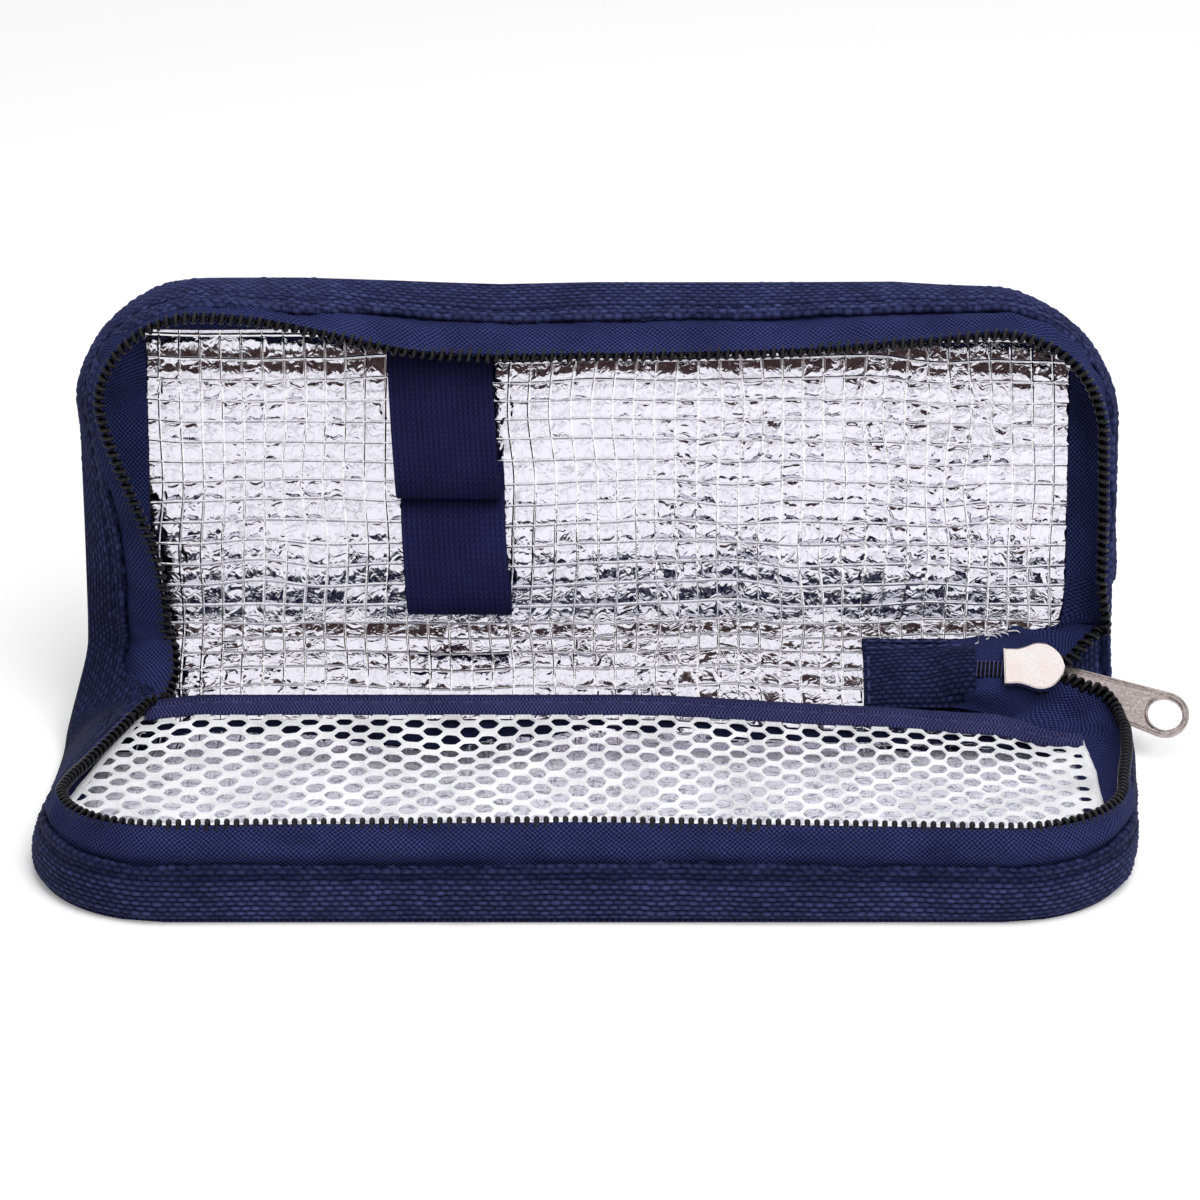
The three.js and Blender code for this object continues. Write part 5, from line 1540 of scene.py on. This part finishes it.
# %% Edging of the net
EDGING_IN = {"left": 0.3, "right": -0.3}
for which, (name, shift) in enumerate(EDGING_IN.items()):
    v = np.linspace(MOUTH_V - 1.0, NET_FRONT - 4.0, 120)[:, None]
    x = net_edges(v)[which] + shift
    turn = full_turn(8)[None, :]
    wide = 0.75 + 0.12 * noise(v / 2, 0 * v, 51)
    rings = on_case(x + wide * np.cos(turn), -v, net_level(x, v) + 0.4 * np.sin(turn))
    # painted shade: the roll is coloured a little greyer underneath than on top
    edging = strip_piece("net_edging_" + name, rings, net_white, stacked(v, turn, 0),
                         0.5 + 0.3 * np.sin(turn) + 0 * v)
    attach(edging, "base")
    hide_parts("pocket_net")
    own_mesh(edging)
    print(edging.name, len(edging.data.polygons))

# %% [markdown]
# ## Bound edge of the pocket
# The mouth of the pocket is bound with a narrow ribbed tape, folded over the net and sewn with one
# row of stitches. It rises towards the spine and tapers out at the right, where it goes into the
# wall. It is a closed sheet whose thickness rounds off at both edges.

# %% Bound edge of the pocket
EDGE_HALF, EDGE_FRONT, EDGE_TAPER = 0.5, MOUTH_V + 0.6, 16
edge_x = np.linspace(net_edges(6.0)[0] + 0.5, net_edges(6.0)[1], 520)[:, None]
edge_v = np.linspace(EDGE_BACK, EDGE_FRONT, 36)[None, :] + 0 * edge_x
edge_u = edge_x + 0 * edge_v
edge_share = (edge_v - EDGE_BACK) / (EDGE_FRONT - EDGE_BACK)
edge_narrow = 1 - 0.7 * smooth((edge_x - edge_x.max() + EDGE_TAPER) / EDGE_TAPER)
edge_v = EDGE_FRONT - (EDGE_FRONT - edge_v) * edge_narrow
edge_yarn = webbing_relief(edge_u * 1.25, edge_v * 1.4)
edge_round = EDGE_HALF * np.sqrt(np.maximum(1 - np.abs(2 * edge_share - 1) ** 6, 0.02))
edge_rise = mix(1.9, 1.4, smooth((edge_x - 40) / 30))
edge_dip = 0.25 * np.exp(-(((edge_share - 0.5) / 0.08) ** 2))  # the stitches pull it in
edge_mid = mouth_level(edge_x) + 0.3 + edge_rise * (1 - edge_share) - edge_dip
edge_shift = edge_v + 1.2 * smooth((edge_x - 55) / 20) + 0.15 * noise(edge_x / 5, edge_v, 43)
edge_top = on_case(edge_u, -edge_shift, edge_mid + edge_round + 0.12 * (edge_yarn - 0.5))
edge_bottom = on_case(edge_u, -edge_shift, edge_mid - edge_round)
pocket_edge = sheet_piece("bound_pocket_mouth", edge_top, edge_bottom, ribbed_tape,
                          stacked(edge_u, edge_v, 0), edge_yarn)
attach(pocket_edge, "base")
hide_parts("pocket_edge")
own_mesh(pocket_edge)
MOUTH_SEAM = 21  # the row of points under the stitches
mouth_line = edge_top[:, MOUTH_SEAM]
mouth_seam = stitch_row("pocket_mouth_seam", mouth_line, mouth_line - edge_bottom[:, MOUTH_SEAM], 0.2,
                        pale_thread, long=2.2, gap=0.8)
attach(mouth_seam, "base")
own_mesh(mouth_seam)
print(pocket_edge.name, len(pocket_edge.data.polygons))

# %% [markdown]
# ## Inner leaf of the pocket's edge, and painted shade
# The folded tape has an inner leaf too. It is drawn longer than the outer one and dark, so that it
# paints the shade that falls through the first holes of the net under the mouth. A narrow sheet of
# uneven length under the net gives it.

# %% Inner leaf of the pocket's edge, and painted shade
leaf_x = np.linspace(net_edges(MOUTH_V)[0] + 2, net_edges(MOUTH_V)[1] - 6, 260)[:, None]
leaf_deep = 2.6 + 4.0 * np.exp(-(((leaf_x + 32) / 20) ** 2)) + 1.2 * noise(leaf_x / 9, 0 * leaf_x, 44)
leaf_v = MOUTH_V + leaf_deep * np.linspace(0, 1, 12)[None, :]
leaf_level = net_level(leaf_x + 0 * leaf_v, leaf_v) - 1.1 - 0.25 * (leaf_v - MOUTH_V)
leaf_places = [on_case(leaf_x + 0 * leaf_v, -leaf_v, leaf_level + lift) for lift in (0.2, -0.2)]
# painted shade: darker webbing at a low, even relief, so it shows nearly black through the holes
leaf_and_shade = sheet_piece("pocket_mouth_leaf_and_shade", *leaf_places, darker_webbing,
                         stacked(leaf_x + 0 * leaf_v, leaf_v, 0), np.full(leaf_v.shape, 0.2))
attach(leaf_and_shade, "base")
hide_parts("pocket_edge")
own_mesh(leaf_and_shade)
print(leaf_and_shade.name, len(leaf_and_shade.data.polygons))

# %% [markdown]
# ## Pen loops
# One 20 mm elastic band is sewn down in three places. Between them it hangs in two loops, each
# standing off the lining and turning sharply back under itself. The knit shows as upright ribs
# with small slanted stitches.

# %% Line of the band
BAND_WIDTH, BAND_HALF = 20.0, 0.5
BAND_CENTRE, BAND_SKEW = -28.5, 0.06
BAND_TOP, BAND_MIDDLE, BAND_BOTTOM = 64.0, 34.0, 10.4
BAND_LOW = PANEL_THICK + 0.7
LOOP_RISE = 7.6
LOWER_LOOP_SHIFT = 0.8  # the two loops aren't sewn quite in line
# A loop from the side, as shares of its length down the lid and of its rise off the lining.
LOOP = ((0.0, 0.0), (0.07, 0.16), (0.3, 0.7), (0.6, 1.0), (0.9, 1.04), (1.04, 0.92), (1.1, 0.7),
        (1.08, 0.46), (1.0, 0.2))


def loop_line(top, bottom):
    """One pen loop: it stands off the lining and turns back under itself below its seam."""
    return [(0.0, top - share * (top - bottom), BAND_LOW + rise * LOOP_RISE) for share, rise in LOOP]


SEWN_DOWN = 2.0  # the band lies flat this far behind each loop
band_points = [(0.0, BAND_TOP + 2 * SEWN_DOWN, BAND_LOW), *loop_line(BAND_TOP, BAND_MIDDLE),
               (0.0, BAND_MIDDLE + SEWN_DOWN, BAND_LOW), *loop_line(BAND_MIDDLE - 1.2, BAND_BOTTOM),
               (0.0, BAND_BOTTOM + SEWN_DOWN, BAND_LOW), (0.0, BAND_BOTTOM + 2 * SEWN_DOWN, BAND_LOW)]
band_line = through(band_points, 380)
band_along = along_of(band_line * MM)
print("band length:", round(float(band_along[-1]), 1), "mm")

# %% Band
RIB, KNIT_STITCH, KNIT_RELIEF = 1.0, 1.1, 0.14
band_x = np.linspace(-BAND_WIDTH / 2, BAND_WIDTH / 2, 128)[None, :]
band_u = band_along[:, None]
stitch = np.abs(((band_x / RIB) % 1) - 0.5) * 2
ribs = np.sin(math.pi * ((band_x / RIB) % 1)) ** 0.7
knit = (0.4 + 0.6 * ribs) * (0.72 + 0.28 * np.sin(2 * math.pi * (band_u / KNIT_STITCH + 0.8 * stitch)))
slope = np.gradient(band_line[:, 1:], axis=0)
slope /= np.linalg.norm(slope, axis=1, keepdims=True)
sag = 0.35 * noise(band_x / 9 + 3, band_u / 14, 51)


def band_face(offset):
    """One face of the band, that far off its middle line."""
    v = band_line[:, 1][:, None] + slope[:, 1][:, None] * offset
    w = band_line[:, 2][:, None] - slope[:, 0][:, None] * offset
    lower_loop = smooth((band_u - band_along[-1] / 2 + 4) / 8)
    sideways = BAND_SKEW * (LEAF_LENGTH / 2 - v) + 0.2 * noise(band_u / 12, 0 * band_u, 52)
    x = BAND_CENTRE + band_x + sideways + LOWER_LOOP_SHIFT * lower_loop
    lowest = PANEL_THICK + 0.25
    return on_case(x, SPINE_WIDTH + v, np.maximum(w + sag * smooth((w - BAND_LOW) / 3), lowest))


band_thick = BAND_HALF + KNIT_RELIEF * knit
band = sheet_piece("elastic_pen_band", band_face(band_thick), band_face(-band_thick), elastic,
                   stacked(band_x + 0 * band_u, band_u, 0), knit)
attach(band, "lid")
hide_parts("pen_band")
print(band.name, len(band.data.polygons))

# %% [markdown]
# ## Tab over the zip's end
# The closed end of the zip runs a few millimetres to the left of the slider and goes under a
# tab of webbing, sewn down on its left. The tab arches over the two meshed coils. Its upper edge
# has two wavy rolls where the webbing is turned in, with a row of stitches along each.

# %% Tab
TAB_BELOW, TAB_ABOVE = 6.2, 8.4
TAB_HALF = 0.45
tab_x = np.linspace(TAB_START, TAB_END, 110)[:, None]
tab_q = np.linspace(-TAB_BELOW, TAB_ABOVE, 90)[None, :]
tab_arch = 1 - np.clip(np.abs(tab_q - 0.4) / 6.4, 0, 1) ** 2.6
tab_low = PANEL_THICK + 0.9
tab_mid = tab_low + (tail_level(tab_x) + 2.1 - tab_low) * tab_arch * smooth((tab_x - TAB_START) / 8)
tab_yarn = webbing_relief(tab_x * 1.3 + 0 * tab_q, tab_q * 1.1 + 30 + 0 * tab_x)
tab_edge = np.minimum(np.minimum(tab_x - TAB_START, TAB_END - tab_x),
                      np.minimum(tab_q + TAB_BELOW, TAB_ABOVE - tab_q))
tab_thick = TAB_HALF * np.sqrt(np.clip(tab_edge / 0.5, 0.05, 1))
selvedge = TAB_ABOVE - 0.5 + 0.22 * np.sin(2 * math.pi * tab_x / 3.3)
tab_rolls = sum(np.exp(-(((tab_q - selvedge + below) / 0.4) ** 2)) for below in (0.0, 1.5))
tab_mid = tab_mid + 0.25 * noise(tab_x / 5, tab_q / 4, 61) + 0.4 * tab_rolls
tab_top = on_spine(tab_x, ZIP_LINE + tab_q, tab_mid + tab_thick + 0.3 * (tab_yarn - 0.5))
tab_under = on_spine(tab_x, ZIP_LINE + tab_q, tab_mid - tab_thick)
tab = sheet_piece("webbing_end_tab", tab_top, tab_under, darker_webbing, stacked(tab_x, tab_q, 0), tab_yarn)
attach(tab, "spine")
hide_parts("zip_end_tab")
TAB_SEAMS = {"top": np.s_[:, 84], "lower_top": np.s_[:, 75], "left": np.s_[5, :76]}
for name, line in TAB_SEAMS.items():
    sewn = tab_top[line]
    seam = stitch_row("tab_seam_" + name, sewn, sewn - tab_under[line], 0.3, pale_thread, long=2.4,
                      gap=0.5)
    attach(seam, "spine")
print(tab.name, len(tab.data.polygons))

# %% [markdown]
# ## Closed end of the zip
# Between tab and slider the two coils mesh, and what shows there is a flat black chain crossed by a
# row of thin pale threads. So the chain is one smooth strip with the threads on it: single turns
# of meshed coil would be hidden under them. The threads stand for sewing thread, and their pale
# colour also paints the highlights on the crowns of the meshed turns.

# %% Threads and painted highlights on the closed end of the zip
RUNG_POINTS, RUNG_SIDES, RUNG_RADIUS = 9, 6, 0.13
LADDER_STEP, LADDER_HALF = 0.8, 1.75
CHAIN_DEEP = 0.85
chain_x = np.linspace(TAIL_START, SLIDER_START + 2.5, 60)[:, None]
chain_turn = full_turn(24)[None, :]
chain_wide = LADDER_HALF * np.sign(np.cos(chain_turn)) * np.abs(np.cos(chain_turn)) ** 0.5
chain_level = tail_level(chain_x) + CHAIN_DEEP * np.sin(chain_turn)
chain_place = on_spine(chain_x + 0 * chain_turn, ZIP_LINE + chain_wide + 0 * chain_x, chain_level)
chain = strip_piece("meshed_chain", chain_place, nylon, chain_place / MM, np.zeros(chain_place.shape[:2]))
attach(chain, "spine")
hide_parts("zip_tail")
rungs = []
for x in np.arange(TAB_END + 0.3, SLIDER_START - 0.2, LADDER_STEP):
    q = np.linspace(-LADDER_HALF, LADDER_HALF, RUNG_POINTS)
    level = tail_level(x) + CHAIN_DEEP - 0.02 - 0.25 * (q / LADDER_HALF) ** 4
    middle = np.stack([x + 0.1 * q, ZIP_LINE + q, level], -1)
    turn = full_turn(RUNG_SIDES)
    ring = np.stack([np.cos(turn), 0 * turn, np.sin(turn)], -1) * RUNG_RADIUS
    rungs.append(on_spine(*np.moveaxis(middle[:, None] + ring[None], -1, 0)))


def joined_faces(threads):
    """Faces of threads that are tubes of points, all in one mesh."""
    rows, sides = threads.shape[1:3]
    tubes = [grid_faces(rows, sides, k * rows * sides, around=True) for k in range(len(threads))]
    return facing_out(threads, np.concatenate(tubes).tolist())


rungs = np.stack(rungs)
# painted highlight: the pale threads also stand for the lights on the meshed turns
ladder = mesh_piece("chain_threads_and_glints", rungs, joined_faces(rungs), pale_thread, rungs / MM)
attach(ladder, "spine")
print(ladder.name, len(rungs))

# %% [markdown]
# ## Frayed threads
# Above the slider a few cut threads of the scrim stick out from under the tape. They are six short
# tubes with a seeded random lie, so that they come out the same in every run.

# %% Frayed threads of the scrim
FRAY_POINTS, FRAY_SIDES, FRAY_RADIUS, FRAY_LEVEL = 12, 6, 0.14, 6.6
FRAY_START = ((74.4, 21.2), (75.6, 21.5), (76.6, 21.8), (77.8, 22.0), (79.0, 22.2), (80.2, 22.4))
draw = np.random.default_rng(71)
frays = []
for x, q in FRAY_START:
    heading = draw.uniform(-2.6, 0.2)
    ends = np.array([(0, 0), (0.7, 0.25), (1.5, 0.4), (2.1, 0.1)]) * draw.uniform(0.9, 1.5)
    over = ends[:, 0] * math.cos(heading) - ends[:, 1] * math.sin(heading)
    down = ends[:, 0] * math.sin(heading) * 0.6 + ends[:, 1] * math.cos(heading)
    middle = through(stacked(x + over, q + down, FRAY_LEVEL), FRAY_POINTS)
    turn = full_turn(FRAY_SIDES)
    ring = np.stack([0 * turn, np.cos(turn), np.sin(turn)], -1) * FRAY_RADIUS
    frays.append(on_spine(*np.moveaxis(middle[:, None] + ring[None], -1, 0)))
frays = np.stack(frays)
fray = mesh_piece("frayed_scrim_threads", frays, joined_faces(frays), net_white, frays / MM,
                  np.full(frays.shape[:3], 0.9))
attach(fray, "spine")
print(fray.name, len(frays))

# %% [markdown]
# ## Slider and pull
# The slider is die-cast: two plates with a post between them, flanges that close the channel,
# and a bridge behind for the pull. Each part is an outline swept between levels. The plates are
# drawn in at their first and last levels, so their edges are round as a casting's are.

# %% Slider
TAIL_HALF, HEAD_HALF = 3.7, 4.85
FRONT_PLATE, BACK_PLATE = (9.5, 10.6), (6.4, 7.5)  # from and to these levels over the outer cloth
POST_LEVELS, BACK_FLANGE, FRONT_FLANGE = (7.2, 9.8), (7.2, 7.9), (9.1, 9.8)
POST_RADIUS, FLANGE_THICK = 1.3, 0.9
BRIDGE_BACK, BRIDGE_INNER, BRIDGE_FOOT = 4.4, 4.95, 6.8  # levels; its feet are sunk into the plate
BRIDGE_LEG, BRIDGE_HALF = 1.2, 1.1


def slider_side(tail, head):
    """One side of a plate, from its tail to its nose."""
    shape = [(0.0, tail), (0.12, tail), (0.24, tail), (0.36, mix(tail, head, 0.35)), (0.5, head * 0.98),
             (0.62, head), (0.74, head * 0.93), (0.85, head * 0.72), (0.94, head * 0.4), (0.985, 0.0)]
    return through(np.array(shape), 60) * (SLIDER_LENGTH, 1)


def casting(name, outline, levels, place):
    """A cast part: its outline, drawn in by an inset at each level."""
    way = np.roll(outline, -1, 0) - np.roll(outline, 1, 0)
    inward = np.stack([-way[:, 1], way[:, 0]], -1) / np.linalg.norm(way, axis=1, keepdims=True)
    rings = np.stack([place(*(outline + inset * inward).T, level) for inset, level in levels])
    part = strip_piece(name, rings, slider_nickel, None)
    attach(part, "slider")
    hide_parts("slider_body")


def on_slider(x, q, w):
    return on_spine(SLIDER_START + x, ZIP_LINE + q, w + 0 * x)


def straight_levels(low, high):
    """Levels of a part with sharp ends, which are sunk into others."""
    return [(0, low), (0, high)]


def round_levels(low, high):
    """Insets and levels of a plate with rounded edges."""
    edge = [(0.34, 0.0), (0.3, 0.0), (0.14, 0.02), (0.04, 0.08), (0.0, 0.2)]
    lower = [(inset, low + rise) for inset, rise in edge]
    return lower + [(inset, high - rise) for inset, rise in edge[::-1]]


side_line = slider_side(TAIL_HALF, HEAD_HALF)
plate = np.concatenate([side_line * (1, -1), side_line[-2::-1]])
casting("slider_front_plate", plate, round_levels(*FRONT_PLATE), on_slider)
casting("slider_back_plate", plate, round_levels(*BACK_PLATE), on_slider)
circle = full_turn(24)
post = np.stack([0.86 * SLIDER_LENGTH + POST_RADIUS * np.cos(circle), POST_RADIUS * np.sin(circle)], -1)
casting("slider_post", post, straight_levels(*POST_LEVELS), on_slider)
for name, sign in (("lower", -1), ("upper", 1)):
    run = side_line[4:38] * (1, sign)
    flange = np.concatenate([run, run[::-1] - (0, FLANGE_THICK * sign)])[::-sign]
    casting("slider_flange_back_" + name, flange, straight_levels(*BACK_FLANGE), on_slider)
    casting("slider_flange_front_" + name, flange, straight_levels(*FRONT_FLANGE), on_slider)
bridge_start, bridge_end = 0.15 * SLIDER_LENGTH, 0.767 * SLIDER_LENGTH
leg_end, leg_start = bridge_end - BRIDGE_LEG, bridge_start + BRIDGE_LEG
bridge = np.array([(bridge_start, BRIDGE_BACK), (bridge_end, BRIDGE_BACK), (bridge_end, BRIDGE_FOOT),
                   (leg_end, BRIDGE_FOOT), (leg_end, BRIDGE_INNER), (leg_start, BRIDGE_INNER),
                   (leg_start, BRIDGE_FOOT), (bridge_start, BRIDGE_FOOT)])
casting("slider_bridge", bridge, straight_levels(-BRIDGE_HALF, BRIDGE_HALF),
        lambda x, w, q: on_slider(x, q + 0 * x, w))
print("slider plate:", len(plate), "points round")

# %% [markdown]
# ## Pull
# The pull is a flat casting with an eye at the bridge and a ring for the finger. Its CAD solid is
# already right, so it keeps that shape with bevelled edges. A rubbed, rounded rim is added round
# its outline, its ring and its eye.

# %% Pull
PULL_PIVOT = bridge_end - BRIDGE_LEG / 2
PULL_DROOP, PULL_LEVEL = math.radians(-20), 5.675
PULL_REACH, RING_RADIUS, RING_HOLE, EYE_RADIUS, EYE_HOLE = 24.0, 4.65, 3.35, 2.9, 1.75
BEAD_WIDE, BEAD_DEEP = 0.36, 0.68


def around(centre, radius, turn):
    """Points on a circle whose centre is that far along the pull."""
    return np.stack([centre + radius * np.cos(turn), radius * np.sin(turn)], -1)


tangent = math.acos((EYE_RADIUS - RING_RADIUS) / PULL_REACH)
round_ring = np.linspace(-tangent, tangent, 72)
round_eye = np.linspace(tangent, 2 * math.pi - tangent, 40)
whole = np.linspace(0, 2 * math.pi, 65)
outer_rim = np.concatenate([around(PULL_REACH, RING_RADIUS - BEAD_WIDE, round_ring),
                            around(0, EYE_RADIUS - BEAD_WIDE, round_eye)])
RIMS = {"outline": np.concatenate([outer_rim, outer_rim[:1]]),
        "ring": around(PULL_REACH, RING_HOLE + BEAD_WIDE, whole),
        "eye": around(0, EYE_HOLE + BEAD_WIDE, whole)}
for name, line in RIMS.items():
    way = np.gradient(line, axis=0)
    way[0] = way[-1] = way[0] + way[-1]
    across = np.stack([-way[:, 1], way[:, 0]], -1) / np.linalg.norm(way, axis=1, keepdims=True)
    turn = full_turn(10)
    flat = line[:, None] + BEAD_WIDE * np.cos(turn)[None, :, None] * across[:, None]
    x = flat[..., 0] * math.cos(PULL_DROOP) - flat[..., 1] * math.sin(PULL_DROOP)
    q = flat[..., 0] * math.sin(PULL_DROOP) + flat[..., 1] * math.cos(PULL_DROOP)
    level = PULL_LEVEL + BEAD_DEEP * np.sin(turn)[None, :]
    rings = on_spine(SLIDER_START + PULL_PIVOT + x, ZIP_LINE + q, level)
    bead = strip_piece("pull_rim_" + name, rings, rim_nickel, None)
    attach(bead, "pull")
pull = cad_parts["slider_pull"]
pull.data.materials.clear()
pull.data.materials.append(pull_nickel)
bevel = pull.modifiers.new("die-cast edges", "BEVEL")
bevel.width = 0.12 * MM
bevel.segments = 2
bevel.limit_method = "ANGLE"
bevel.angle_limit = math.radians(35)
print("pull rims:", list(RIMS))

# %% [markdown]
# ## Measure and finish
# Both boxes are printed, so that anyone can see how far the cloth stands proud of the CAD
# model: a millimetre or two, as yarns and swollen padding do.

# %% Sizes of both boxes
dressed_box = [list(corner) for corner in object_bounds()]
print("cad box (mm):", np.round(np.array(cad_box) / MM, 1).tolist())
print("visual box (mm):", np.round(np.array(dressed_box) / MM, 1).tolist())
